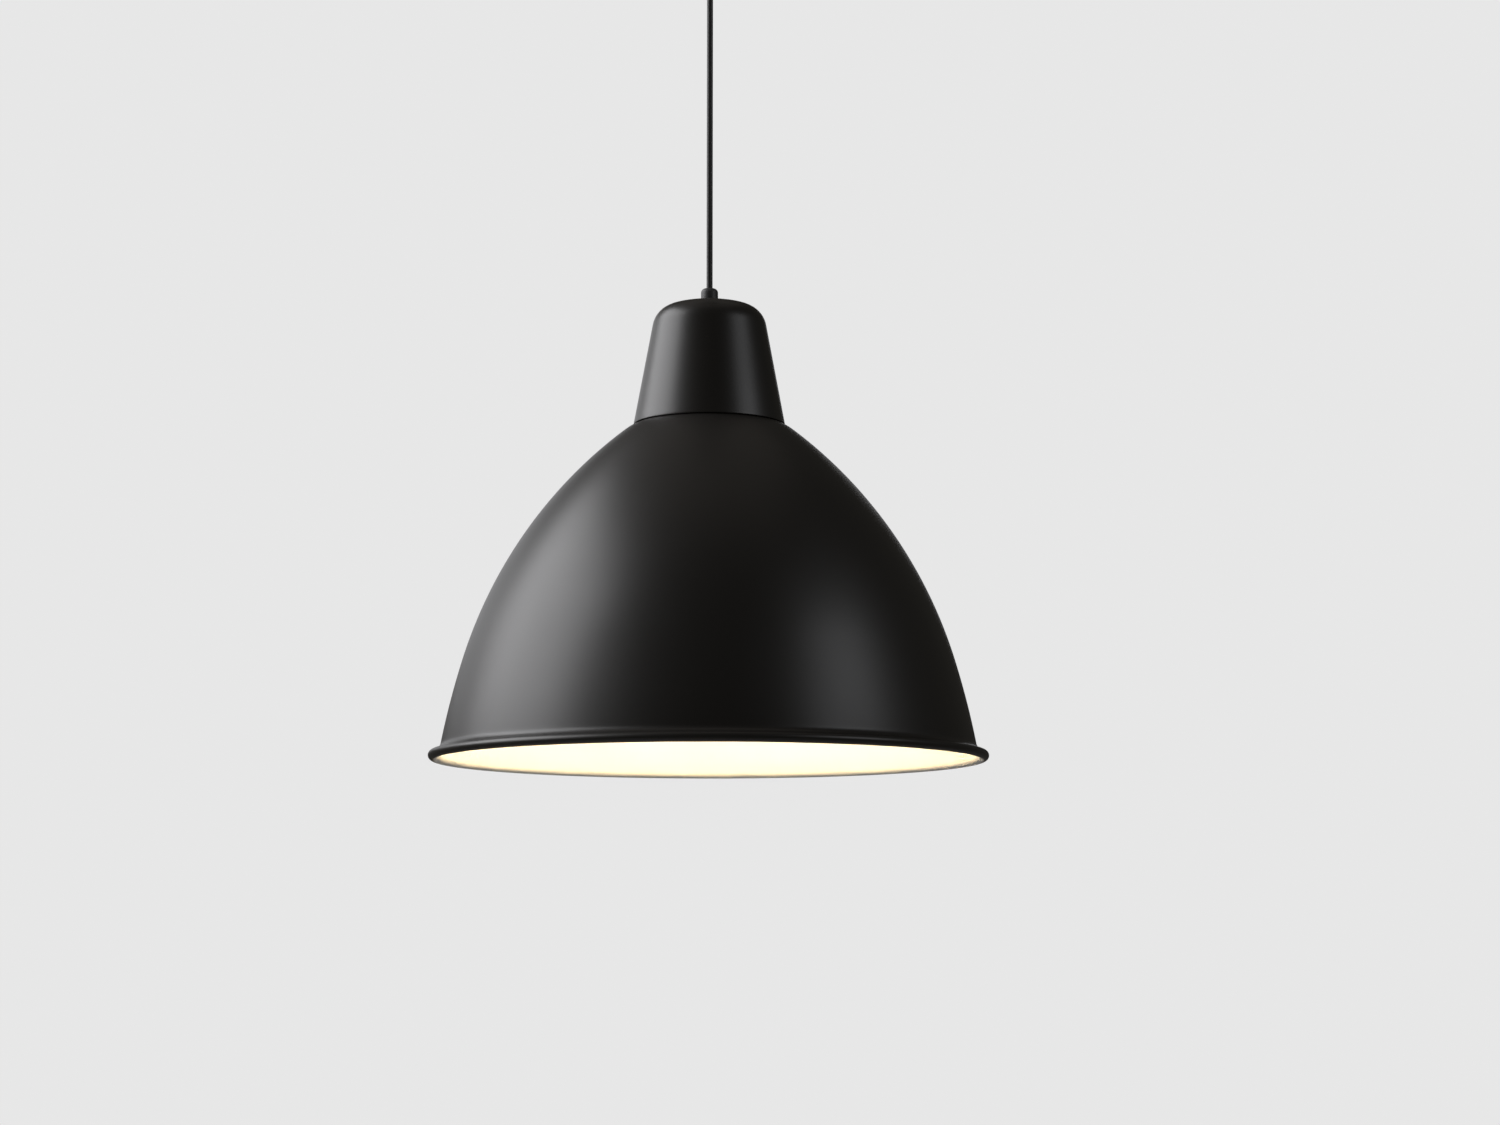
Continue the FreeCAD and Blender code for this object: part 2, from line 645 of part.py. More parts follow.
# ---- lampholder ---------------------------------------------------------------------------
FLANGE_TOP = LAND_Z + 3.0
SPIGOT_TOP = LAND_Z + 8.0
SPIGOT_R = 18.4
FLANGE_R = 23.5
SKIRT_BORE_R = 14.4
POCKET_R = 17.0
GROOVE_PITCH = 2.0
GROOVE_R = 0.6
CAP_OUTER_R = 20.5
CAP_SIDE_H = 10.0           # straight side of the cap, under its shoulder
CAP_SHOULDER_R = 8.0
CAP_NECK_R = 8.5
CAP_WALL = 1.9
HOLDER_TOP = FLANGE_TOP + 21.0
TERMINAL_X = 9.0
TERMINAL_SCREW_R = 1.3
TERMINAL_SCREW_LIFT = 3.4   # over the insert
TERMINAL_H = 6.0
INSERT_R = 16.9
INSERT_TOP_Z = level(INSERT_LOW) + 10.0


def lampholder_body():
    """Threaded skirt through the shade's hole, a flange on the land and a spigot for the cap."""
    low = level(SKIRT_LOW)
    body = rod(SKIRT_R, low, LAND_Z).fuse(rod(FLANGE_R, LAND_Z, FLANGE_TOP))
    body = body.fuse(rod(SPIGOT_R, FLANGE_TOP, SPIGOT_TOP))
    bore = rod(SKIRT_BORE_R, low, level(INSERT_LOW))
    pocket = rod(POCKET_R, level(INSERT_LOW), SPIGOT_TOP)
    body = body.cut(bore).cut(pocket)
    count = int((LAND_LOW_Z - low) / GROOVE_PITCH) - 1
    for k in range(count):
        z = low + (k + 0.75) * GROOVE_PITCH
        body = body.cut(Part.makeTorus(SKIRT_R + GROOVE_R / 2, GROOVE_R, V(0, 0, z), UP))
    return body.removeSplitter()


def lampholder_cap():
    """Screws on to the spigot; a rounded shoulder and a short neck for the cord bush."""
    side_top = FLANGE_TOP + CAP_SIDE_H
    shoulder_top = side_top + CAP_SHOULDER_R
    outer = Outline(CAP_OUTER_R, FLANGE_TOP).run(CAP_SIDE_H).bend(CAP_SHOULDER_R, 90.0)
    outer.to(CAP_NECK_R, shoulder_top).to(CAP_NECK_R, HOLDER_TOP).to(0, HOLDER_TOP).to(0, FLANGE_TOP)
    inner_r = CAP_OUTER_R - CAP_WALL
    inner = Outline(inner_r, SPIGOT_TOP).to(inner_r, side_top).bend(CAP_SHOULDER_R - CAP_WALL, 90.0)
    inner.to(0, shoulder_top - CAP_WALL).to(0, SPIGOT_TOP)
    spigot_room = rod(SPIGOT_R, FLANGE_TOP, SPIGOT_TOP + FREE_GAP)
    cap = outer.turned().cut(spigot_room).cut(inner.turned())
    return cap.cut(rod(BUSH_R, FLANGE_TOP, HOLDER_TOP)).removeSplitter()


HOLDER_COLLAR_R = 7.2
HOLDER_STEM_LOW = HOLDER_TOP - 6.0
HOLDER_BUSH_TOP = HOLDER_TOP + 8.0
HOLDER_SCREW_Z = HOLDER_TOP + 4.5


def holder_bush():
    """Strain relief on the cap's neck; the cord runs down through it."""
    collar = rod(HOLDER_COLLAR_R, HOLDER_TOP, HOLDER_BUSH_TOP)
    collar = collar.makeFillet(1.2, end_edges(collar, HOLDER_BUSH_TOP))
    body = collar.fuse(rod(BUSH_R, HOLDER_STEM_LOW, HOLDER_TOP))
    body = body.cut(rod(CORD_R + RUN_GAP, HOLDER_STEM_LOW, HOLDER_BUSH_TOP))
    return body.cut(grip_screw_hole(HOLDER_SCREW_Z)).removeSplitter()


def holder_grip_screw():
    tip = V(CORD_R + RUN_GAP, 0, HOLDER_SCREW_Z)
    seat = V(HOLDER_COLLAR_R + 0.8, 0, HOLDER_SCREW_Z)
    return slotted_screw(tip, seat, GRIP_SCREW_R, GRIP_HEAD_R, 1.8)


def riser_slot(side):
    if side < 0:
        return (-6.5, -5.3)
    return (10.0, 11.2)


def contact_insert():
    """The ceramic disc that carries both terminals over the thread shell."""
    disc = rod(INSERT_R, level(INSERT_LOW), INSERT_TOP_Z)
    disc = disc.makeFillet(0.8, end_edges(disc, INSERT_TOP_Z))
    for side in (-1, 1):
        disc = disc.cut(block(riser_slot(side), (-1.6, 1.6), (level(INSERT_LOW), INSERT_TOP_Z)))
    return disc.removeSplitter()


def terminal_x_range(side):
    if side < 0:
        return (-TERMINAL_X - 3.4, riser_slot(side)[1])
    return (TERMINAL_X - 3.2, TERMINAL_X + 3.4)


def holder_terminal(side):
    """Brass block with a wire hole on the insert, and a riser leg down through its slot."""
    top = INSERT_TOP_Z + TERMINAL_H
    body = block(terminal_x_range(side), (-3.0, 3.0), (INSERT_TOP_Z, top))
    leg_low = level(INSERT_LOW) if side > 0 else level(TIP_TOP) + 0.4
    body = body.fuse(block(riser_slot(side), (-1.5, 1.5), (leg_low, INSERT_TOP_Z)))
    if side < 0:
        body = body.fuse(block((riser_slot(side)[0], 4.0), (-1.5, 1.5), (leg_low, leg_low + 0.8)))
    wire_x = side * TERMINAL_X
    body = body.cut(rod(LEAD_R + RUN_GAP, INSERT_TOP_Z + 1.5, top, x=wire_x))
    screw_z = INSERT_TOP_Z + TERMINAL_SCREW_LIFT
    screw_hole = bar(TERMINAL_SCREW_R, V(wire_x, 0, screw_z), V(side * (TERMINAL_X + 4.0), 0, screw_z))
    return body.cut(screw_hole).removeSplitter()


def holder_terminal_screws():
    screws = []
    for side in (-1, 1):
        z = INSERT_TOP_Z + TERMINAL_SCREW_LIFT
        tip = V(side * (TERMINAL_X + LEAD_R + 0.3), 0, z)
        seat = V(side * (TERMINAL_X + 3.4), 0, z)
        screws.append(slotted_screw(tip, seat, TERMINAL_SCREW_R, 2.1, 1.5))
    return Part.Compound(screws)


def thread_shell():
    """The E27 screw shell; its inward top flange lies under the insert."""
    high = level(INSERT_LOW)
    shell = tube(SHELL_R, SHELL_R - SHELL_T, level(SKIRT_LOW) + 2.0, high)
    return shell.fuse(tube(SHELL_R, 8.0, high - 0.6, high)).removeSplitter()


def inner_lead(side):
    """From the cord's lower end, spread apart inside the cap and down into a terminal."""
    low = level(CORD_LOW)
    return swept(route([V(side * LEAD_SIDE, 0, low - FREE_GAP),
                        V(side * LEAD_SIDE, 0, low - 3.6),
                        V(side * TERMINAL_X, 0, low - 5.4),
                        V(side * TERMINAL_X, 0, INSERT_TOP_Z + 1.7)]), LEAD_R)


RING_FLANGE_R = 26.0
RING_FLANGE_T = 2.0
RING_BARREL_R = 23.5
RING_H = 8.0
NOTCHES = 18
NOTCH_CIRCLE_R = 23.9
NOTCH_R = 1.1


def shade_ring():
    """Screws up the skirt and clamps the land; finger notches round its barrel."""
    high = LAND_LOW_Z
    barrel_top = high - RING_FLANGE_T
    ring = rod(RING_FLANGE_R, barrel_top, high).fuse(rod(RING_BARREL_R, high - RING_H, barrel_top))
    ring = ring.cut(rod(SKIRT_R + 0.05, high - RING_H, high))
    for k in range(NOTCHES):
        angle = 2 * math.pi * k / NOTCHES
        x = NOTCH_CIRCLE_R * math.cos(angle)
        y = NOTCH_CIRCLE_R * math.sin(angle)
        ring = ring.cut(rod(NOTCH_R, high - RING_H, barrel_top, x, y))
    return ring.removeSplitter()


# ---- bulb ---------------------------------------------------------------------------------
COLLAR_LOW = GLOBE_Z + math.sqrt(GLOBE_R ** 2 - GLOBE_EDGE_R ** 2)
COLLAR_R = 27.6
COLLAR_EDGE_H = 2.0
COLLAR_SIDE_R = 60.0        # curve of its side, towards the neck
COLLAR_WALL = 2.9
NECK_R = 12.5               # fits inside the cap
NECK_BORE_R = 10.9
NECK_H = 10.0
CAP_T = 0.5
CAP_CONE = 3.0              # how far the cap closes in
CAP_CONE_H = 1.5
CAP_HIGH = TIP_TOP - 4.5
INSULATOR_H = 3.0
RIVET_R = 1.7
TIP_H = 1.5
TIP_DOME_R = 6.0
BOARD_LOW = COLLAR_LOW + COLLAR_EDGE_H
BOARD_T = 1.6
CHIP_T = 0.8
CHIPS = 10


def bulb_globe():
    """Opal dome, cut off flat where it meets the collar."""
    ball = Part.makeSphere(GLOBE_R, V(0, 0, level(GLOBE_Z)))
    hollow = Part.makeSphere(GLOBE_R - GLOBE_WALL, V(0, 0, level(GLOBE_Z)))
    above = rod(GLOBE_R + 1.0, level(COLLAR_LOW), level(COLLAR_LOW) + GLOBE_R)
    return ball.cut(hollow).cut(above).removeSplitter()


def bulb_collar():
    """Moulded heat-sink housing from the globe's edge up to the cap."""
    low = level(COLLAR_LOW)
    edge = low + COLLAR_EDGE_H
    neck = level(CAP_LOW)
    high = neck + NECK_H
    outer = Outline(COLLAR_R, low).run(COLLAR_EDGE_H).bend(COLLAR_SIDE_R, 18.0)
    outer.to(NECK_R + 1.5, neck).to(NECK_R, neck).to(NECK_R, high).to(0, high).to(0, low)
    inner = Outline(COLLAR_R - COLLAR_WALL, low).to(COLLAR_R - COLLAR_WALL, edge)
    inner.to(NECK_BORE_R + 1.5, neck - 1.0).to(NECK_BORE_R, neck).to(NECK_BORE_R, high)
    inner.to(0, high).to(0, low)
    return outer.turned().cut(inner.turned()).removeSplitter()


def bulb_cap():
    """The E27 shell at its thread's crest, as a plain sleeve closed in towards the insulator."""
    bend = level(CAP_HIGH) - CAP_CONE_H
    inner_r = CAP_R - CAP_T
    sleeve = tube(CAP_R, inner_r, level(CAP_LOW), bend)
    cone = Part.makeCone(CAP_R, CAP_R - CAP_CONE, CAP_CONE_H, V(0, 0, bend), UP)
    hollow = Part.makeCone(inner_r, inner_r - CAP_CONE, CAP_CONE_H, V(0, 0, bend), UP)
    return sleeve.fuse(cone.cut(hollow)).removeSplitter()


def bulb_insulator():
    low = level(CAP_HIGH)
    cone = Part.makeCone(CAP_R - CAP_CONE, 5.0, INSULATOR_H, V(0, 0, low), UP)
    return cone.cut(rod(RIVET_R + FREE_GAP, low, low + INSULATOR_H))


def bulb_tip():
    """Centre contact: a rivet whose low dome ends at the tongue of the lampholder."""
    seat = level(TIP_TOP) - TIP_H
    ball = Part.makeSphere(TIP_DOME_R, V(0, 0, level(TIP_TOP) - TIP_DOME_R))
    head = ball.common(rod(4.6, seat, level(TIP_TOP)))
    return head.fuse(rod(RIVET_R, seat - INSULATOR_H, seat)).removeSplitter()


def led_board():
    low = level(BOARD_LOW)
    return rod(COLLAR_R - COLLAR_WALL - 0.7, low, low + BOARD_T)


def led_chips():
    """A ring of chips on the board's underside."""
    chips = []
    for k in range(CHIPS):
        chip = block((12.6, 16.1), (-1.4, 1.4), (level(BOARD_LOW) - CHIP_T, level(BOARD_LOW)))
        chip.rotate(V(0, 0, 0), UP, 360.0 * k / CHIPS)
        chips.append(chip)
    return Part.Compound(chips)


DRIVER_LOW = level(BOARD_LOW) + BOARD_T
DRIVER_HALF_T = 0.8


def driver_board():
    """Stands on the chips' board and reaches up into the cap."""
    return block((-9.0, 9.0), (-DRIVER_HALF_T, DRIVER_HALF_T), (DRIVER_LOW, level(CAP_LOW) + 6.0))


def driver_parts():
    """A capacitor and a choke, one on each side of the driver board."""
    capacitor_r = 4.0
    axis = V(0, capacitor_r + DRIVER_HALF_T, DRIVER_LOW + 8.0)
    capacitor = Part.makeCylinder(capacitor_r, 11.0, axis, UP)
    choke_back = -7.0 - DRIVER_HALF_T
    choke = block((-5.0, 5.0), (choke_back, -DRIVER_HALF_T), (DRIVER_LOW + 6.0, DRIVER_LOW + 14.0))
    return Part.Compound([capacitor, choke])


# ---- every piece, in its own file ----------------------------------------------------------
save("ceiling_plate", ceiling_plate())
save("ceiling_hook", ceiling_hook())
save("hook_nut", hook_nut())
save("suspension_ring", suspension_ring())
save("hanger_eye", hanger_eye())
save("hanger_body", hanger_body())
save("hanger_cover", hanger_cover())
save("clamp_screws", clamp_screws())
save("terminal_block", terminal_block())
save("terminal_tubes", terminal_tubes())
save("terminal_screws", terminal_screws())
save("terminal_fixing_screw", terminal_fixing_screw())
save("upper_lead_live", upper_lead(-1))
save("upper_lead_neutral", upper_lead(1))
save("suspension_cord", suspension_cord())
save("ceiling_cup", ceiling_cup())
save("cup_bush", cup_bush())
save("cup_bush_nut", bush_nut(CUP_BOTTOM_Z + CUP_WALL))
save("cup_grip_screw", cup_grip_screw())
save("shade", shade())
save("shade_crown", shade_crown())
save("socket_cover", COVER)
save("cord_grip", cord_grip())
save("grip_seal", grip_seal())
save("cord_grip_nut", cord_grip_nut())
save("lampholder_body", lampholder_body())
save("lampholder_cap", lampholder_cap())
save("holder_bush", holder_bush())
save("holder_grip_screw", holder_grip_screw())
save("contact_insert", contact_insert())
save("live_terminal", holder_terminal(-1))
save("neutral_terminal", holder_terminal(1))
save("holder_terminal_screws", holder_terminal_screws())
save("thread_shell", thread_shell())
save("inner_lead_live", inner_lead(-1))
save("inner_lead_neutral", inner_lead(1))
save("shade_ring", shade_ring())
save("bulb_globe", bulb_globe())
save("bulb_collar", bulb_collar())
save("bulb_cap", bulb_cap())
save("bulb_insulator", bulb_insulator())
save("bulb_tip", bulb_tip())
save("led_board", led_board())
save("led_chips", led_chips())
save("driver_board", driver_board())
save("driver_parts", driver_parts())
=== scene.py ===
# %% [markdown]
# # A bell pendant light, made in Blender round its CAD frame
# The light is a spun-metal bell on a round cord, with a conical cover over its lampholder and a
# cup at the ceiling.  The CAD model already holds every piece at its real place, so this lesson
# only builds the surfaces that the eye sees.  Everything is in metres, with +Z up and the middle
# of the ceiling plate at the origin, so the light hangs below zero.

# %% Load the frame
import bmesh
import bpy
import math
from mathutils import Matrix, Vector


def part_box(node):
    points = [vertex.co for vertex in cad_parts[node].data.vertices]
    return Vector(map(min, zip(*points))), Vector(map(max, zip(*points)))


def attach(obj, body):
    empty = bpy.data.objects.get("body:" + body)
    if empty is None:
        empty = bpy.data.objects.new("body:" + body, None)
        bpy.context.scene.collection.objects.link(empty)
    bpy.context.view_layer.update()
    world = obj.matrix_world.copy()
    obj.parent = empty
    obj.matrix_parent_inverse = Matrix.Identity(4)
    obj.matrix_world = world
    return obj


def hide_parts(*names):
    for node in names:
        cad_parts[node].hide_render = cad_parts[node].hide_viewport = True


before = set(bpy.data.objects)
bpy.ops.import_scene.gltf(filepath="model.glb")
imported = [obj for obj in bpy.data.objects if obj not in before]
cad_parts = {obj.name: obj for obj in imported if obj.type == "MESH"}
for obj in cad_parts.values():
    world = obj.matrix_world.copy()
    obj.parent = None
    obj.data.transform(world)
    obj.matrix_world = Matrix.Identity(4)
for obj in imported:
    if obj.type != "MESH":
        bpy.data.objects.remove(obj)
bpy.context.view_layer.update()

scene = bpy.context.scene

# %% [markdown]
# ## Sizes
# The heights of the big pieces come from the boxes of their CAD nodes.  The rim's bead is the
# lowest thing on the shade, and its middle is one bead radius above that.  Spinners draw a bell as
# a few arcs that run into each other without a corner, so the shade is four arcs here too: a radius
# and an angle for each, from the rim up to the flat land under the lampholder.

# %% Sizes from the frame
MM = 0.001
BEAD_R = 3.25 * MM
RIM_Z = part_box("shade")[0].z + BEAD_R
RIM_R = 190.0 * MM
SHADE_WALL = 0.8 * MM
SHADE_FOOT = (181.5 * MM, RIM_Z + 8.0 * MM)
SHADE_LEAN = 10.86
SHADE_ARCS = [(563.0 * MM, 6.1), (316.0 * MM, 35.1), (38.6 * MM, 12.0), (20.0 * MM, 25.94)]
SHADE_HOLE_R = 20.2 * MM
CORD_R = 2.1 * MM
print("rim height %.4f m, shade foot at radius %.4f m" % (RIM_Z, SHADE_FOOT[0]))

# %% [markdown]
# ## Camera
# A pendant is looked at from below its rim, so the camera stands 148 mm under the rim plane, a
# little over two metres away, and looks up by 7.4 degrees.  A long lens keeps the bell's sides from
# spreading.  The light hangs slightly left of the lens axis.

# %% Camera
CAMERA_BACK = 2.173
CAMERA_SIDE = 0.028
CAMERA_BELOW_RIM = 0.1479
CAMERA_PITCH = 7.37
camera = bpy.data.objects.new("camera", bpy.data.cameras.new("camera"))
scene.collection.objects.link(camera)
camera.location = (CAMERA_SIDE, -CAMERA_BACK, RIM_Z - CAMERA_BELOW_RIM)
camera.rotation_euler = (math.radians(90 + CAMERA_PITCH), 0, 0)
camera.data.lens = 76.8
camera.data.sensor_width = 36.0
scene.camera = camera
print("camera at", [round(v, 3) for v in camera.location])

# %% [markdown]
# ## Cord
# The sheathed two-core cord runs straight from the strain relief on the lampholder, up through the
# cover's grip and the cup's bush, into the clamp at the ceiling.  The lamp's weight holds it taut,
# so three points in a line are its whole route.  A curve with a round bevel is the natural way to
# make a cord: its line stays editable, and its thickness is one number.

# %% Cord
CORD_LOW = (0.0, 0.0, -0.378)
CORD_MIDDLE = (0.0, 0.0, -0.217)
CORD_TOP = (0.0, 0.0, -0.056)


def cord_line(name, points, radius, body):
    curve = bpy.data.curves.new(name, "CURVE")
    curve.dimensions = "3D"
    curve.bevel_depth = 1.0
    curve.bevel_resolution = 8
    curve.use_fill_caps = True
    spline = curve.splines.new("NURBS")
    spline.points.add(len(points) - 1)
    for control, place in zip(spline.points, points):
        control.co = (*place, 1.0)
        control.radius = radius
    spline.order_u = 3
    spline.use_endpoint_u = True
    piece = bpy.data.objects.new(name, curve)
    scene.collection.objects.link(piece)
    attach(piece, body)
    return piece


cord = cord_line("cord", (CORD_LOW, CORD_MIDDLE, CORD_TOP), CORD_R, "hanger")
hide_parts("suspension_cord")
print("cord from z %.3f to %.3f m" % (CORD_LOW[2], CORD_TOP[2]))

# %% [markdown]
# ## Reckoning with sockets
# A finish is a small sum of noises, masks and colours.  Written as nodes it is a long list; written
# as Python it is a line.  Wire stands for one output of a node, and its operators add Math nodes.
# Finish holds the material's tree, and its node method makes any other node: first the settings,
# then the sockets, which take a number, a colour or another Wire.

# %% Wire and Finish
class Wire:
    """One output socket; sums with it add Math nodes to its finish."""

    def __init__(self, finish, socket):
        self.finish = finish
        self.socket = socket

    def _maths(self, operation, *values):
        return self.finish.node("Math", {"operation": operation}, dict(enumerate(values)))

    def __add__(self, other):
        return self._maths("ADD", self, other)

    def __sub__(self, other):
        return self._maths("SUBTRACT", self, other)

    def __rsub__(self, other):
        return self._maths("SUBTRACT", other, self)

    def __mul__(self, other):
        return self._maths("MULTIPLY", self, other)

    __radd__ = __add__
    __rmul__ = __mul__

    def also(self, output):
        """Another output of the same node."""
        return Wire(self.finish, self.socket.node.outputs[output])

    def above(self, low, high):
        """0 up to low, 1 from high on, smooth between."""
        sockets = {"Value": self, "From Min": low, "From Max": high}
        return self.finish.node("MapRange", {"interpolation_type": "SMOOTHSTEP"}, sockets)


class Finish:
    """A material in the making."""

    def __init__(self, name):
        self.material = bpy.data.materials.new(name)
        self.material.use_nodes = True
        self.tree = self.material.node_tree
        self.tree.nodes.clear()
        self.end = self.tree.nodes.new("ShaderNodeOutputMaterial")

    def node(self, kind, settings=None, inputs=None, out=0):
        made = self.tree.nodes.new("ShaderNode" + kind)
        for name, value in (settings or {}).items():
            setattr(made, name, value)
        for name, value in (inputs or {}).items():
            self.feed(made.inputs[name], value)
        return Wire(self, made.outputs[out])

    def feed(self, socket, value):
        if isinstance(value, Wire):
            self.tree.links.new(value.socket, socket)
        else:
            socket.default_value = value

    def place(self):
        """The piece's own coordinates, in metres, which move with it."""
        return self.node("TexCoord", out="Object")

    def axes(self):
        return self.node("SeparateXYZ", inputs={0: self.place()})

    def radius(self):
        """Distance from the light's own axis."""
        x = self.axes()
        y = x.also(1)
        return self.node("Math", {"operation": "SQRT"}, {0: x * x + y * y})

    def noise(self, grain, detail, stretch=(1.0, 1.0, 1.0)):
        """Smooth noise between 0 and 1 whose grains are about this many metres across."""
        where = self.node("VectorMath", {"operation": "MULTIPLY"}, {0: self.place(), 1: stretch})
        return self.node("TexNoise", inputs={"Vector": where, "Scale": 1.0 / grain, "Detail": detail})

    def blend(self, mask, colour_a, colour_b):
        return self.node("Mix", {"data_type": "RGBA"}, {0: mask, 6: colour_a, 7: colour_b}, out=2)

    def bump(self, height, depth):
        return self.node("Bump", inputs={"Height": height, "Distance": depth, "Strength": 1.0})

    def done(self, **sockets):
        """The Principled shader, fed with these sockets: an underscore stands for a space."""
        named = {name.replace("_", " "): value for name, value in sockets.items()}
        shader = self.node("BsdfPrincipled", inputs=named)
        self.tree.links.new(shader.socket, self.end.inputs["Surface"])
        return self.material


def grey(value, warm=0.0):
    """A grey, or a slightly warm one, as a colour."""
    return (value * (1 + warm), value, value * (1 - warm), 1.0)


print("operators ready: + - * and the reflected forms")

# %% [markdown]
# ## Powder coat and enamel
# The bell and its cover are powder-coated: dry paint melted in an oven, which leaves a satin skin
# with a faint orange peel about a millimetre across.  A bump would be enough for the peel, because
# it is thinner than a hair.  The roughness wanders a little over a few centimetres, as it does where
# the spray gun passed twice, so long highlights do not look drawn with a ruler.

# %% Powder coat
def powder_coat(name, tone, roughness):
    f = Finish(name)
    peel = f.noise(1.1 * MM, 1.0)
    grit = f.noise(0.35 * MM, 1.0)
    passes = f.noise(60.0 * MM, 2.0)
    colour = f.blend(grit.above(0.45, 0.75), grey(tone, 0.12), grey(tone * 1.5, 0.12))
    sheen = passes * 0.05 + grit * 0.03 + (roughness - 0.04)
    return f.done(Base_Color=colour, Roughness=sheen, Normal=f.bump(peel + grit * 0.4, 0.012 * MM))


coat_black = powder_coat("powder_coat_black", 0.008, 0.40)
cover_coat = powder_coat("cover_coat_black", 0.009, 0.38)
print("coats:", coat_black.name, cover_coat.name)

# %% [markdown]
# Inside, the bell is enamelled a warm white to throw the light down.  The two paints meet at the
# lowest line of the rolled bead, where the mask lets the inner colour fade into a tan edge: partly
# the enamel's edge, and partly painted shade for the bead's lowest line, which the bulb barely lights.

# %% White enamel
def inner_enamel():
    f = Finish("inner_enamel_white")
    cloud = f.noise(45.0 * MM, 2.0)
    peel = f.noise(1.4 * MM, 1.0)
    radius = f.radius()
    white = f.blend(cloud, (0.86, 0.84, 0.79, 1.0), (0.90, 0.885, 0.84, 1.0))
    # Painted shade: the tan band on the bead's lowest line is partly the enamel's edge and partly shade
    # painted into the colour.
    tan_edge_and_shade = radius.above(RIM_R - BEAD_R - 1.2 * MM, RIM_R - BEAD_R)
    colour = f.blend(tan_edge_and_shade, white, (0.36, 0.27, 0.17, 1.0))
    rough = cloud * 0.06 + 0.42
    return f.done(Base_Color=colour, Roughness=rough, Normal=f.bump(peel, 0.010 * MM))


enamel = inner_enamel()
print("enamel:", enamel.name)

# %% [markdown]
# ## Mouldings, rubber and wire
# Small black pieces are moulded, with the even fine texture that a spark-eroded mould leaves.  The
# cord's sheath is softer and slightly duller along its length where hands have wiped it.  Leads are
# glossy thin insulation.  One function serves them all, with its grain, depth and gloss as numbers.

# %% Moulded plastics
def moulded(name, colour, roughness, grain=0.5, depth=0.008):
    f = Finish(name)
    texture = f.noise(grain * MM, 1.0)
    flow = f.noise(9.0 * MM, 2.0)
    paler = tuple(min(1.0, c * 1.18 + 0.003) for c in colour) + (1.0,)
    shade_of = f.blend(flow.above(0.35, 0.7), tuple(colour) + (1.0,), paler)
    rough = flow * 0.06 + texture * 0.04 + (roughness - 0.05)
    return f.done(Base_Color=shade_of, Roughness=rough, Normal=f.bump(texture, depth * MM))


def cord_sheath():
    f = Finish("cord_sheath_black")
    drawn = f.noise(0.8 * MM, 1.0, (1.0, 1.0, 0.08))
    wiped = f.noise(30.0 * MM, 2.0, (1.0, 1.0, 0.5))
    colour = f.blend(wiped.above(0.4, 0.7), grey(0.012), grey(0.019))
    rough = wiped * 0.12 + 0.42
    return f.done(Base_Color=colour, Roughness=rough, Normal=f.bump(drawn, 0.01 * MM))


grip_plastic = moulded("grip_plastic_dark_grey", (0.030, 0.030, 0.031), 0.48)
holder_plastic = moulded("holder_plastic_black", (0.018, 0.018, 0.018), 0.36, grain=0.8)
white_plastic = moulded("white_plastic", (0.78, 0.78, 0.75), 0.38, grain=0.6)
seal_rubber = moulded("seal_rubber", (0.02, 0.02, 0.02), 0.7, grain=0.3, depth=0.02)
lead_brown = moulded("lead_brown", (0.13, 0.045, 0.022), 0.33, grain=0.9, depth=0.004)
lead_blue = moulded("lead_blue", (0.025, 0.11, 0.40), 0.33, grain=0.9, depth=0.004)
ceramic = moulded("ceramic_glazed", (0.80, 0.77, 0.69), 0.16, grain=2.2, depth=0.02)
black_glass = moulded("black_glass", (0.008, 0.008, 0.009), 0.08, grain=1.5, depth=0.01)
sleeve_dark = moulded("shrink_sleeve_dark", (0.03, 0.03, 0.05), 0.3)
sheath = cord_sheath()
print("plastics made:", len(bpy.data.materials))

# %% [markdown]
# ## Plated steel, brass and rolled nickel
# Bright zinc on steel is a bluish grey with patches a few millimetres wide, one for each crystal of
# the plate, and it scatters light in the direction of the rolling.  A metal's colour is its
# reflection, so the patches change both the colour and the roughness.

# %% Metals
def plated(name, colour_a, colour_b, roughness, patch=3.0, stretch=(1.0, 1.0, 1.0)):
    f = Finish(name)
    patches = f.noise(patch * MM, 3.0)
    rolled = f.noise(0.25 * MM, 1.0, stretch)
    colour = f.blend(patches.above(0.3, 0.7), colour_a + (1.0,), colour_b + (1.0,))
    rough = patches * 0.12 + rolled * 0.10 + (roughness - 0.08)
    return f.done(Base_Color=colour, Metallic=1.0, Roughness=rough, Normal=f.bump(rolled, 0.006 * MM))


zinc = plated("zinc_plated_steel", (0.55, 0.57, 0.60), (0.68, 0.69, 0.70), 0.30)
brass = plated("brass_turned", (0.70, 0.50, 0.22), (0.80, 0.60, 0.30), 0.24,
               stretch=(1.0, 1.0, 0.1))
nickel = plated("rolled_nickel", (0.66, 0.64, 0.60), (0.76, 0.75, 0.72), 0.22,
                stretch=(0.2, 0.2, 1.0))
print("metals:", zinc.name, brass.name, nickel.name)

# %% [markdown]
# ## The parts that glow
# The bulb's opal dome hides a ring of diodes, and scatters their light until the whole dome is one
# even source, slightly dimmer near the collar, where the dome stands behind the board.  The dome
# itself lights the bell: a mesh that emits is a light in Cycles, so no lamp has to hide inside it.

# %% Glowing finishes
GLOW = (1.0, 0.79, 0.51)
GLOBE_Z = RIM_Z + 143.0 * MM


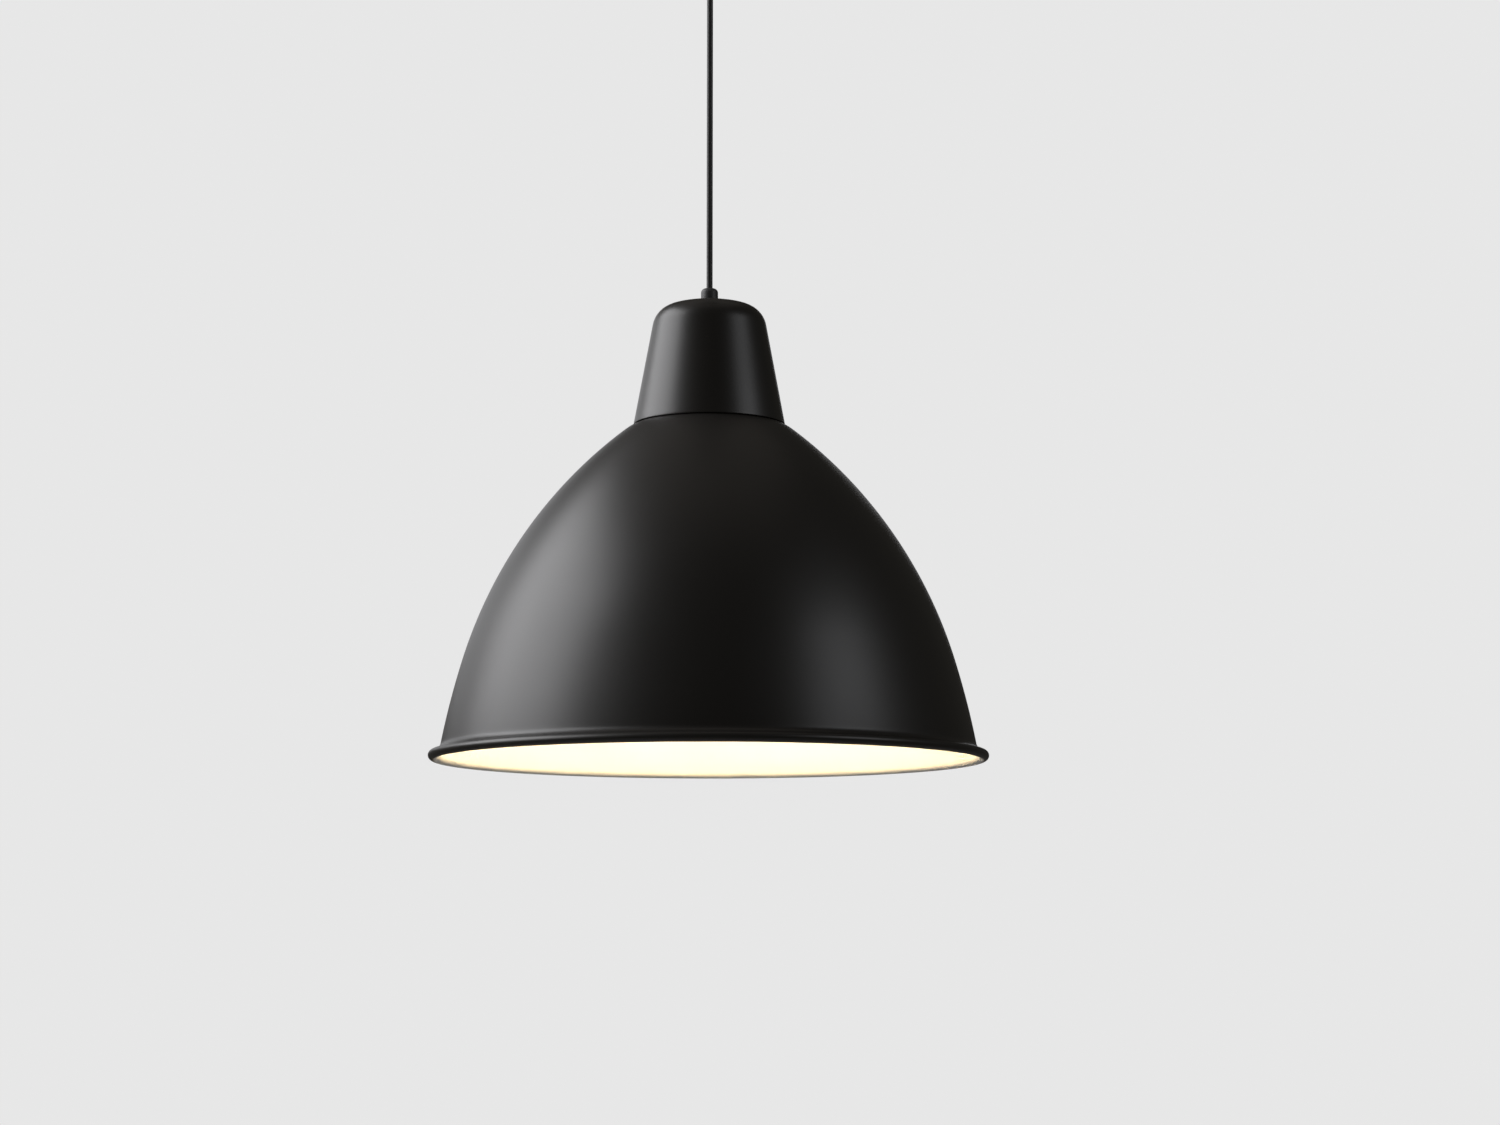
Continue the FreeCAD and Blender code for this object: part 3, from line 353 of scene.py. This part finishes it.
def opal_glow(power):
    f = Finish("opal_glow")
    height = f.axes().also(2)
    near_collar = height.above(GLOBE_Z + 6.0 * MM, GLOBE_Z + 15.0 * MM)
    frost = f.noise(2.5 * MM, 2.0)
    base = f.blend(frost, (0.86, 0.85, 0.82, 1.0), (0.92, 0.91, 0.88, 1.0))
    glow = f.blend(near_collar, GLOW + (1.0,), tuple(0.45 * c for c in GLOW) + (1.0,))
    return f.done(Base_Color=base, Roughness=frost * 0.1 + 0.35,
                  Emission_Color=glow, Emission_Strength=power)


def phosphor(power):
    f = Finish("led_phosphor")
    gel = f.noise(0.7 * MM, 2.0)
    base = f.blend(gel, (0.85, 0.62, 0.15, 1.0), (0.95, 0.75, 0.25, 1.0))
    glow = f.blend(gel, (1.0, 0.72, 0.36, 1.0), (1.0, 0.80, 0.46, 1.0))
    return f.done(Base_Color=base, Roughness=gel * 0.1 + 0.3,
                  Emission_Color=glow, Emission_Strength=power)


opal = opal_glow(105.0)
led_gel = phosphor(30.0)
print("glowing finishes:", opal.name, led_gel.name)

# %% [markdown]
# ## Circuit boards
# The driver board is green solder mask over copper: where a track runs, the mask looks a shade
# lighter.  A brick texture with thin mortar gives tracks that turn square corners.  The board that
# carries the diodes is coated white, to waste no light.

# %% Boards
def board(name, mask_colour, track_colour):
    f = Finish(name)
    bricks = {"Vector": f.place(), "Scale": 160.0, "Mortar Size": 0.12}
    tracks = f.node("TexBrick", inputs=bricks, out="Fac")
    mottled = f.noise(4.0 * MM, 2.0)
    colour = f.blend(tracks * 0.8 + mottled * 0.2, mask_colour + (1.0,), track_colour + (1.0,))
    return f.done(Base_Color=colour, Roughness=mottled * 0.1 + 0.28, Normal=f.bump(tracks, 0.03 * MM))


board_green = board("driver_board_green", (0.02, 0.16, 0.06), (0.05, 0.28, 0.11))
board_white = board("led_board_white", (0.74, 0.74, 0.71), (0.84, 0.84, 0.82))
print("boards:", board_green.name, board_white.name)

# %% [markdown]
# ## Drawing a section
# Everything round on this light was spun, turned or moulded about one axis.  A section of lines and
# tangent arcs, walked like a pen that knows its heading, gives smooth walls with few numbers.
# Offsetting is easy too: an inner skin has the same arcs with the wall taken off each radius.

# %% Pen for sections
FINEST = 2.0 * MM       # longest step along a section
TURN_STEP = 7.5         # most degrees in one step of an arc


def at(radius, height):
    return Vector((radius, height))


def heading(degrees):
    return Vector((math.cos(math.radians(degrees)), math.sin(math.radians(degrees))))


class Section:
    """Points of a section, as (radius, height); headings run from outwards (0) to up (90)."""

    def __init__(self, radius, height, facing=90.0):
        self.points = [at(radius, height)]
        self.facing = facing

    def end(self):
        return self.points[-1]

    def to(self, radius, height):
        start, target = self.end(), at(radius, height)
        steps = max(1, math.ceil((target - start).length / FINEST))
        self.points += [start.lerp(target, k / steps) for k in range(1, steps + 1)]
        self.facing = math.degrees(math.atan2(height - start.y, radius - start.x))
        return self

    def run(self, length):
        target = self.end() + heading(self.facing) * length
        return self.to(target.x, target.y)

    def bend(self, radius, degrees):
        """A tangent arc, to the left for positive degrees."""
        side = 90.0 if degrees > 0 else -90.0
        centre = self.end() + heading(self.facing + side) * radius
        length = abs(math.radians(degrees)) * radius
        steps = max(2, math.ceil(abs(degrees) / TURN_STEP), math.ceil(length / FINEST))
        for k in range(1, steps + 1):
            self.points.append(centre + heading(self.facing + degrees * k / steps - side) * radius)
        self.facing += degrees
        return self


def arc_round(centre, start, end, clockwise):
    """Points on a circle about centre, from start to end in the given direction."""
    first = math.atan2(start.y - centre.y, start.x - centre.x)
    sweep = math.atan2(end.y - centre.y, end.x - centre.x) - first
    sweep = -((-sweep) % (2 * math.pi)) if clockwise else sweep % (2 * math.pi)
    radius = (start - centre).length
    steps = max(3, math.ceil(abs(math.degrees(sweep)) / TURN_STEP))
    turns = [math.degrees(first + sweep * k / steps) for k in range(1, steps + 1)]
    return [centre + heading(turn) * radius for turn in turns]


def eased(points, fillets):
    """A closed section with some of its corners rounded: fillets gives a radius by point number."""
    steps = 4
    result = []
    for k, here in enumerate(points):
        if k not in fillets:
            result.append(here)
            continue
        before = points[k - 1] - here
        after = points[(k + 1) % len(points)] - here
        half = before.angle(after) / 2
        trim = min(fillets[k] / math.tan(half), 0.45 * before.length, 0.45 * after.length)
        radius = trim * math.tan(half)
        inwards = (before.normalized() + after.normalized()).normalized()
        middle = here + inwards * (radius / math.sin(half))
        first = here + before.normalized() * trim
        last = here + after.normalized() * trim
        turn = math.degrees((first - middle).angle_signed(last - middle, 0.0))
        start = math.degrees(math.atan2(first.y - middle.y, first.x - middle.x))
        result += [middle + heading(start - turn * i / steps) * radius for i in range(steps + 1)]
    return result


print("a quarter arc takes", math.ceil(90 / TURN_STEP), "steps")

# %% [markdown]
# ## Turning it
# The lathe copies the section round the axis and joins neighbours with quads.  Around the bell it
# takes 224 steps, so the flats are 5 mm wide on the rim and lie 0.02 mm inside the true circle.
# The faces of a closed section make a closed skin, which is what a printed or exported mesh needs.
# A swell function may push points in or out on their own radius, for threads, ribs and knurls.

# %% Lathe
def turned(name, points, body, nodes, finishes, marks=None, *, steps, swell=None):
    """A closed section turned about the axis; marks gives each edge's finish by number."""
    vertices = []
    rings = []
    for point in points:
        if point.x < 1e-6:
            rings.append([len(vertices)] * steps)
            vertices.append((0.0, 0.0, point.y))
            continue
        rings.append(list(range(len(vertices), len(vertices) + steps)))
        for k in range(steps):
            angle = 2 * math.pi * k / steps
            radius = point.x + (swell(point.x, point.y, angle) if swell else 0.0)
            vertices.append((radius * math.cos(angle), radius * math.sin(angle), point.y))
    faces = []
    numbers = []
    for i in range(len(rings)):
        low, high = rings[i], rings[(i + 1) % len(rings)]
        if low[0] == low[-1] and high[0] == high[-1]:
            continue
        for k in range(steps):
            after = (k + 1) % steps
            corners = [low[k], low[after], high[after], high[k]]
            corners = [c for j, c in enumerate(corners) if c != corners[j - 1]]
            faces.append(corners)
            numbers.append(marks[i] if marks else 0)
    mesh_piece(name, vertices, faces, numbers, body, nodes, finishes)


def mesh_piece(name, vertices, faces, numbers, body, nodes, finishes):
    mesh = bpy.data.meshes.new(name)
    mesh.from_pydata([tuple(v) for v in vertices], [], faces)
    for finish in finishes:
        mesh.materials.append(finish)
    mesh.polygons.foreach_set("material_index", numbers)
    mesh.polygons.foreach_set("use_smooth", [True] * len(faces))
    mesh.update()
    outwards(mesh)
    mesh.set_sharp_from_angle(angle=math.radians(35))
    piece = bpy.data.objects.new(name, mesh)
    scene.collection.objects.link(piece)
    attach(piece, body)
    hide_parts(*nodes)
    print("%-18s %6d faces, rides on %s" % (name, len(faces), body))


def outwards(mesh):
    """Turns every face to look out of the closed skin."""
    work = bmesh.new()
    work.from_mesh(mesh)
    bmesh.ops.recalc_face_normals(work, faces=work.faces)
    work.to_mesh(mesh)
    work.free()


print("lathe ready")

# %% [markdown]
# ## The bell
# A spinner presses a disc of steel over a wooden form while it turns, then rolls the edge outwards
# round a wire, which hides the raw edge and stiffens the rim.  Here the outer skin is four arcs, and
# the inner skin the same arcs less the wall.  Outside, a short flare tangent to the wall and to the
# bead closes the roll.  Inside, the wall runs straight on and bends out to the bead's lowest line.

# %% Bell section
def bell_skins():
    outer = Section(*SHADE_FOOT, 90.0 + SHADE_LEAN)
    inner_foot = Vector(SHADE_FOOT) - heading(SHADE_LEAN) * SHADE_WALL
    inner = Section(inner_foot.x, inner_foot.y, 90.0 + SHADE_LEAN)
    for radius, degrees in SHADE_ARCS:
        outer.bend(radius, degrees)
        inner.bend(radius - SHADE_WALL, degrees)
    outer.to(SHADE_HOLE_R, outer.end().y)
    inner.to(SHADE_HOLE_R, inner.end().y)
    return outer.points, inner.points


def rim_roll(outer_foot, inner_foot):
    """White from the inner foot to the bead's lowest point, black from there to the outer foot."""
    lean = math.radians(SHADE_LEAN)
    bead = at(RIM_R - BEAD_R, RIM_Z)
    lowest = bead - at(0.0, BEAD_R)
    way, drop = lowest.x - inner_foot.x, inner_foot.y - lowest.y
    det = math.sin(lean) * (1 - math.sin(lean)) - math.cos(lean) ** 2
    straight = (way * (1 - math.sin(lean)) - drop * math.cos(lean)) / det
    bend_r = (drop * math.sin(lean) - way * math.cos(lean)) / det
    inside = Section(inner_foot.x, inner_foot.y, SHADE_LEAN - 90.0).run(straight)
    white = inside.points[1:] + arc_round(lowest + at(0.0, bend_r), inside.end(), lowest, False)
    out = heading(SHADE_LEAN)
    reach = outer_foot - bead
    flare = (reach.dot(reach) - BEAD_R ** 2) / (2 * (BEAD_R - reach.dot(out)))
    centre = outer_foot + out * flare
    touch = centre + (bead - centre).normalized() * flare
    black = arc_round(bead, lowest, touch, False) + arc_round(centre, touch, outer_foot, True)
    return white, black


outer_skin, inner_skin = bell_skins()
white_rim, black_rim = rim_roll(outer_skin[0], inner_skin[0])
white_part = inner_skin[::-1] + white_rim
black_part = black_rim[:-1] + outer_skin
bell_section = white_part + black_part
bell_marks = [1] * (len(white_part) - 1) + [0] * (len(black_part) + 1)
turned("shade_bell", bell_section, "lamp", ["shade", "shade_crown"], [coat_black, enamel],
       bell_marks, steps=224)
print("bell section of", len(bell_section), "points")

# %% [markdown]
# ## The conical cover
# The cover over the lampholder is a cone with a soft shoulder and a slightly domed top.  Its foot
# follows the slope of the bell with a hair's gap, and that gap reads as a fine dark line.  The foot's
# outer edge is rounded, because paint creeps back from a sharp one, and the rounding catches a line
# of light just above the gap.

# %% Cover
COVER_LEAN = 10.5
COVER_FOOT_R = 52.3 * MM
COVER_WALL = 1.5 * MM
COVER_SHOULDER_R = 17.0 * MM
COVER_SHOULDER_Z = RIM_Z + 298.5 * MM
COVER_DOME = 15.0
COVER_HOLE_R = 5.1 * MM
COVER_EDGE_R = 0.6 * MM
COVER_INNER_EDGE_R = 0.4 * MM
COVER_FOOT_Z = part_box("socket_cover")[0].z
COVER_TOP_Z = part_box("socket_cover")[1].z
SEAM_SLOPE = 90.0 - SHADE_LEAN - sum(degrees for radius, degrees in SHADE_ARCS[:3])


def cover_section():
    lean = math.radians(COVER_LEAN)
    slant = (COVER_SHOULDER_Z - COVER_FOOT_Z) / math.cos(lean)
    rise = COVER_WALL * (math.tan(lean) + math.tan(math.radians(SEAM_SLOPE)))
    wall = COVER_WALL * heading(COVER_LEAN) - rise * heading(90.0 + COVER_LEAN)
    inner_foot = at(COVER_FOOT_R, COVER_FOOT_Z) - wall
    outer = Section(COVER_FOOT_R, COVER_FOOT_Z, 90.0 + COVER_LEAN).run(slant)
    inner = Section(inner_foot.x, inner_foot.y, 90.0 + COVER_LEAN).run(slant - rise)
    shoulder = 90.0 - COVER_LEAN - COVER_DOME
    outer.bend(COVER_SHOULDER_R, shoulder)
    inner.bend(COVER_SHOULDER_R - COVER_WALL, shoulder)
    dome_r = outer.end().x / math.sin(math.radians(COVER_DOME))
    for skin, radius in ((outer, dome_r), (inner, dome_r - COVER_WALL)):
        skin.bend(radius, COVER_DOME - math.degrees(math.asin(COVER_HOLE_R / radius)))
    points = outer.points + inner.points[::-1]
    hole_edge, inner_edge = len(outer.points) - 1, len(points) - 1
    rounded = {0: COVER_EDGE_R, hole_edge: COVER_INNER_EDGE_R, inner_edge: COVER_INNER_EDGE_R}
    return eased(points, rounded)


turned("cover_cone", cover_section(), "cover", ["socket_cover"], [cover_coat],
       steps=192)
print("cover from z %.4f to %.4f m" % (COVER_FOOT_Z, COVER_TOP_Z))

# %% [markdown]
# ## Cord grip
# The gland on top of the cover is a small moulded knob with domed shoulders: turning it squeezes a
# rubber seal on to the cord.  Its threaded stem goes through the cover into a nut.

# %% Cord grip
GRIP_R = 5.9 * MM
GRIP_SHOULDER = 3.0 * MM
GRIP_EDGE = 0.2 * MM
STEM_R = 4.95 * MM
STEM_EDGE = 0.4 * MM
FREE_BORE_R = 2.45 * MM
SEAL_R = 3.4 * MM
GRIP_TOP_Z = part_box("cord_grip")[1].z


def grip_section():
    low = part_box("cord_grip")[0].z
    seal_low, seal_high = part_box("grip_seal")[0].z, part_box("grip_seal")[1].z
    knob = Section(FREE_BORE_R, low).to(STEM_R - STEM_EDGE, low).to(STEM_R, low + STEM_EDGE)
    knob.to(STEM_R, COVER_TOP_Z).to(GRIP_R - GRIP_EDGE, COVER_TOP_Z)
    knob.to(GRIP_R, COVER_TOP_Z + GRIP_EDGE).to(GRIP_R, GRIP_TOP_Z - GRIP_SHOULDER)
    knob.bend(GRIP_SHOULDER, 90.0).to(FREE_BORE_R, GRIP_TOP_Z).to(FREE_BORE_R, seal_high)
    knob.to(SEAL_R, seal_high).to(SEAL_R, seal_low).to(FREE_BORE_R, seal_low)
    return knob.points


turned("cord_grip_knob", grip_section(), "cover", ["cord_grip"], [grip_plastic],
       steps=96)
print("grip top at z %.4f m" % GRIP_TOP_Z)

# %% [markdown]
# ## Ceiling cup
# The cup hides the hook and the terminal block.  It is a smaller cone with a wide round corner, open
# to the ceiling, and slides down the cord when the grip screw in its bush is slackened.

# %% Ceiling cup and bush
CUP_R = 50.0 * MM
CUP_WALL = 1.2 * MM
CUP_LEAN = 10.5
CUP_CORNER_R = 12.0 * MM
CUP_LOW_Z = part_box("ceiling_cup")[0].z
CUP_TOP_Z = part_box("ceiling_cup")[1].z
CUP_EDGE_R = 0.5 * MM
BUSH_R = 6.2 * MM
FLANGE_R = 8.0 * MM
FLANGE_T = 2.5 * MM


def cup_section():
    lean = math.radians(CUP_LEAN)
    slant = (CUP_TOP_Z - CUP_LOW_Z - CUP_CORNER_R * (1 - math.sin(lean))) / math.cos(lean)
    outer = Section(CUP_R, CUP_TOP_Z, 270.0 - CUP_LEAN).run(slant)
    inner = Section(CUP_R - CUP_WALL / math.cos(lean), CUP_TOP_Z, 270.0 - CUP_LEAN)
    inner.run(slant + CUP_WALL * math.tan(lean))
    outer.bend(CUP_CORNER_R, CUP_LEAN - 90.0)
    inner.bend(CUP_CORNER_R - CUP_WALL, CUP_LEAN - 90.0)
    outer.to(COVER_HOLE_R, outer.end().y)
    inner.to(COVER_HOLE_R, inner.end().y)
    points = outer.points + inner.points[::-1]
    rounded = (0, len(outer.points) - 1, len(points) - 1)
    return eased(points, {number: CUP_EDGE_R for number in rounded})


def bush_section():
    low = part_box("cup_bush")[0].z
    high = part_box("cup_bush")[1].z
    points = [at(FREE_BORE_R, low), at(BUSH_R, low), at(BUSH_R, CUP_LOW_Z - FLANGE_T)]
    points += [at(FLANGE_R, CUP_LOW_Z - FLANGE_T), at(FLANGE_R, CUP_LOW_Z), at(STEM_R, CUP_LOW_Z)]
    points += [at(STEM_R, high), at(FREE_BORE_R, high)]
    return eased(points, {0: 0.4 * MM, 1: 1.5 * MM, 3: 0.6 * MM, 4: 0.3 * MM, 6: 0.5 * MM})


turned("ceiling_cup_cone", cup_section(), "cup", ["ceiling_cup"], [cover_coat],
       steps=160)
turned("ceiling_cup_bush", bush_section(), "cup", ["cup_bush"], [grip_plastic],
       steps=80)

# %% [markdown]
# ## Screw threads
# The lampholder's shell and the bulb's cap are thin sheet, rolled into the same round thread of
# 3.629 mm pitch.  Both are tubes whose radius swings with the height and the angle together, which
# is all that a thread is.  Their waves run in step, so the cap turns in the shell with a constant
# gap, and stays in step as it screws out.

# %% Threads
E27_PITCH = 3.629 * MM
SHELL_R = 13.9 * MM
SHELL_T = 0.4 * MM
SHELL_DEPTH = 0.4 * MM
CAP_R = 13.1 * MM
CAP_T = 0.5 * MM
CAP_DEPTH = 0.45 * MM
CAP_PLAIN_LOW = 2.5 * MM
CAP_PLAIN_TOP = 1.6 * MM
CAP_CONE = 3.0 * MM
CAP_CONE_H = 1.5 * MM
SHELL_FLOOR_T = 0.6 * MM
SHELL_FLOOR_R = 8.0 * MM
THREAD_ROW = 0.45 * MM


def thread_swell(low, high, depth):
    """A right-hand thread between two heights, pressed inwards by depth and faded at its ends."""
    def swell(radius, height, angle):
        wave = 0.5 - 0.5 * math.cos(2 * math.pi * height / E27_PITCH - angle)
        fade = min(1.0, max(0.0, (height - low) / MM), max(0.0, (high - height) / MM))
        return -2 * depth * wave * fade
    return swell


def thread_rows(low, high):
    rows = math.ceil((high - low) / THREAD_ROW)
    return [low + (high - low) * k / rows for k in range(rows + 1)]


def shell_section():
    low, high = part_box("thread_shell")[0].z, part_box("thread_shell")[1].z
    heights = thread_rows(low, high - SHELL_FLOOR_T)
    outside = [at(SHELL_R, z) for z in heights] + [at(SHELL_R, high)]
    inside = [at(SHELL_FLOOR_R, high), at(SHELL_FLOOR_R, high - SHELL_FLOOR_T)]
    return outside + inside + [at(SHELL_R - SHELL_T, z) for z in heights[::-1]]


def cap_section():
    low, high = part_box("bulb_cap")[0].z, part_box("bulb_cap")[1].z
    heights = thread_rows(low, high - CAP_CONE_H)
    outside = [at(CAP_R, z) for z in heights] + [at(CAP_R - CAP_CONE, high)]
    inside = [at(CAP_R - CAP_CONE - CAP_T, high)] + [at(CAP_R - CAP_T, z) for z in heights[::-1]]
    return outside + inside


shell_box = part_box("thread_shell")
cap_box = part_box("bulb_cap")
turned("screw_shell", shell_section(), "lamp", ["thread_shell"], [nickel], steps=96,
       swell=thread_swell(shell_box[0].z, shell_box[1].z - MM, SHELL_DEPTH))
turned("screw_cap", cap_section(), "bulb", ["bulb_cap"], [nickel], steps=96,
       swell=thread_swell(cap_box[0].z + CAP_PLAIN_LOW, cap_box[1].z - CAP_PLAIN_TOP, CAP_DEPTH))
print("thread: %.1f turns in the shell" % ((shell_box[1].z - shell_box[0].z) / E27_PITCH))

# %% [markdown]
# ## The bulb
# The dome is blown opal, 60 mm across and closed into the collar.  The collar is moulded over an
# aluminium can that carries the heat away, with fine upright flutes that give it more skin.

# %% Dome and collar
GLOBE_R = 30.0 * MM
GLOBE_WALL = 1.2 * MM
GLOBE_EDGE_R = 26.5 * MM
COLLAR_R = 27.6 * MM
COLLAR_WALL = 2.9 * MM
COLLAR_EDGE_H = 2.0 * MM
COLLAR_BEND_R = 60.0 * MM
COLLAR_BEND = 18.0
NECK_R = 12.5 * MM
NECK_BORE_R = 10.9 * MM
NECK_H = 10.0 * MM
NECK_STEP = 1.5 * MM
FLUTES = 36
FLUTE_DEPTH = 0.5 * MM
FLUTE_FOOT = 4.0 * MM
FLUTE_HEAD = 12.0 * MM
FLUTE_LEAST_R = 14.5 * MM


def dome_section():
    centre = at(0.0, GLOBE_Z)
    edge_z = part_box("bulb_globe")[1].z
    inner_r = GLOBE_R - GLOBE_WALL
    inner_edge = at(math.sqrt(inner_r ** 2 - (edge_z - GLOBE_Z) ** 2), edge_z)
    outer_edge = at(GLOBE_EDGE_R, edge_z)
    lowest, inner_lowest = at(0.0, GLOBE_Z - GLOBE_R), at(0.0, GLOBE_Z - inner_r)
    outside = [lowest] + arc_round(centre, lowest, outer_edge, False)
    inside = [inner_edge] + arc_round(centre, inner_edge, inner_lowest, True)
    return outside + inside[:-1] + [inner_lowest]


def collar_section():
    low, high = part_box("bulb_collar")[0].z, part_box("bulb_collar")[1].z
    neck = high - NECK_H
    outer = Section(COLLAR_R, low).run(COLLAR_EDGE_H).bend(COLLAR_BEND_R, COLLAR_BEND)
    outer.to(NECK_R + NECK_STEP, neck)
    points = outer.points + [at(NECK_R, neck), at(NECK_R, high), at(NECK_BORE_R, high)]
    points += [at(NECK_BORE_R, neck), at(NECK_BORE_R + NECK_STEP, neck - MM)]
    points += [at(COLLAR_R - COLLAR_WALL, low + COLLAR_EDGE_H), at(COLLAR_R - COLLAR_WALL, low)]
    return eased(points, {0: 0.5 * MM, len(outer.points) - 1: 0.6 * MM})


def fluted(low, high):
    """Upright flutes pressed into the collar's outside, fading out at both ends."""
    def swell(radius, height, angle):
        if radius < FLUTE_LEAST_R or height < low or height > high:
            return 0.0
        fade = math.sin(math.pi * (height - low) / (high - low)) ** 0.5
        return -FLUTE_DEPTH * fade * (0.5 - 0.5 * math.cos(FLUTES * angle)) ** 2
    return swell


collar_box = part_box("bulb_collar")
turned("bulb_dome", dome_section(), "bulb", ["bulb_globe"], [opal], steps=128)
turned("bulb_housing", collar_section(), "bulb", ["bulb_collar"], [white_plastic], steps=288,
       swell=fluted(collar_box[0].z + FLUTE_FOOT, collar_box[1].z - FLUTE_HEAD))

# %% [markdown]
# ## Finishes for the pieces that stay as CAD
# Small hidden pieces already have the right shape, so they keep their CAD solids and only get a
# finish.  A finish replaces the plain one in the piece's only material slot.

# %% CAD pieces
STAYS = {
    zinc: ["ceiling_plate", "ceiling_hook", "hook_nut", "suspension_ring", "hanger_eye", "clamp_screws",
           "terminal_screws", "terminal_fixing_screw", "cup_grip_screw", "holder_grip_screw",
           "holder_terminal_screws"],
    white_plastic: ["hanger_body", "hanger_cover", "terminal_block"],
    brass: ["terminal_tubes", "live_terminal", "neutral_terminal", "bulb_tip"],
    lead_brown: ["upper_lead_live", "inner_lead_live"],
    lead_blue: ["upper_lead_neutral", "inner_lead_neutral"],
    grip_plastic: ["cup_bush_nut", "holder_bush", "cord_grip_nut"],
    holder_plastic: ["lampholder_body", "lampholder_cap", "shade_ring"],
    ceramic: ["contact_insert"],
    seal_rubber: ["grip_seal"],
    black_glass: ["bulb_insulator"],
    board_white: ["led_board"],
    led_gel: ["led_chips"],
    board_green: ["driver_board"],
    sleeve_dark: ["driver_parts"],
}
for finish, names in STAYS.items():
    for name in names:
        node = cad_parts[name]
        for material_slot in node.material_slots:
            material_slot.material = finish
cord.data.materials.append(sheath)
print("CAD pieces finished:", sum(len(names) for names in STAYS.values()))

# %% [markdown]
# ## Studio
# The floor is a plain pale sheet far below.  The light hangs in soft daylight: one large softbox high
# on the left gives the bell its long highlight, and a weak one on the right lifts the far side.  Two
# faint ones, behind and above, edge the outline and the shoulder.  The surroundings are almost white
# to the camera and a dim warm grey to everything else, so black paint stays black.

# %% Floor, surroundings and lights
FLOOR_Z = -3.0


def pale_floor():
    f = Finish("studio_floor_pale")
    cloud = f.noise(0.5, 2.0)
    colour = f.blend(cloud, grey(0.78), grey(0.82))
    return f.done(Base_Color=colour, Roughness=cloud * 0.1 + 0.6)


floor_mesh = bpy.data.meshes.new("studio_floor")
half = 6.0
floor_mesh.from_pydata([(-half, -half, FLOOR_Z), (half, -half, FLOOR_Z), (half, half, FLOOR_Z),
                        (-half, half, FLOOR_Z)], [], [(0, 1, 2, 3)])
floor_mesh.materials.append(pale_floor())
floor = bpy.data.objects.new("studio_floor", floor_mesh)
scene.collection.objects.link(floor)

world = bpy.data.worlds.new("studio")
scene.world = world
world.use_nodes = True
sky = world.node_tree
sky.nodes.clear()
seen = sky.nodes.new("ShaderNodeBackground")
lighting = sky.nodes.new("ShaderNodeBackground")
seen.inputs["Color"].default_value = (0.80, 0.80, 0.80, 1.0)
lighting.inputs["Color"].default_value = (1.0, 0.94, 0.82, 1.0)
lighting.inputs["Strength"].default_value = 0.055
path = sky.nodes.new("ShaderNodeLightPath")
mix = sky.nodes.new("ShaderNodeMixShader")
world_end = sky.nodes.new("ShaderNodeOutputWorld")
sky.links.new(path.outputs["Is Camera Ray"], mix.inputs[0])
sky.links.new(lighting.outputs[0], mix.inputs[1])
sky.links.new(seen.outputs[0], mix.inputs[2])
sky.links.new(mix.outputs[0], world_end.inputs["Surface"])


def softbox(name, place, aim, size, watts, colour):
    data = bpy.data.lights.new(name, "AREA")
    data.shape = "RECTANGLE"
    data.size, data.size_y = size
    data.energy = watts
    data.color = colour
    lamp = bpy.data.objects.new(name, data)
    scene.collection.objects.link(lamp)
    lamp.location = place
    lamp.rotation_euler = (Vector(aim) - Vector(place)).to_track_quat("-Z", "Y").to_euler()
    lamp.visible_camera = False
    print("%-14s %5.1f W at %s" % (name, watts, place))


BELL_MIDDLE = (0.0, 0.0, RIM_Z + 150.0 * MM)
softbox("window_left", (-2.09, 0.14, 0.78), BELL_MIDDLE, (2.5, 1.8), 74.0, (0.98, 0.98, 1.0))
softbox("fill_right", (1.98, -0.95, 0.50), BELL_MIDDLE, (1.2, 0.8), 7.5, (0.96, 0.97, 1.0))
softbox("back_sky", (-0.70, 2.25, 0.20), BELL_MIDDLE, (3.2, 0.8), 7.0, (0.96, 0.97, 1.0))
softbox("ceiling_bounce", (0.0, 0.2, 1.6), BELL_MIDDLE, (2.0, 2.0), 2.0, (1.0, 0.92, 0.84))
scene.view_settings.view_transform = "Standard"

# %% [markdown]
# ## End

# %% Finish
print("scene built")
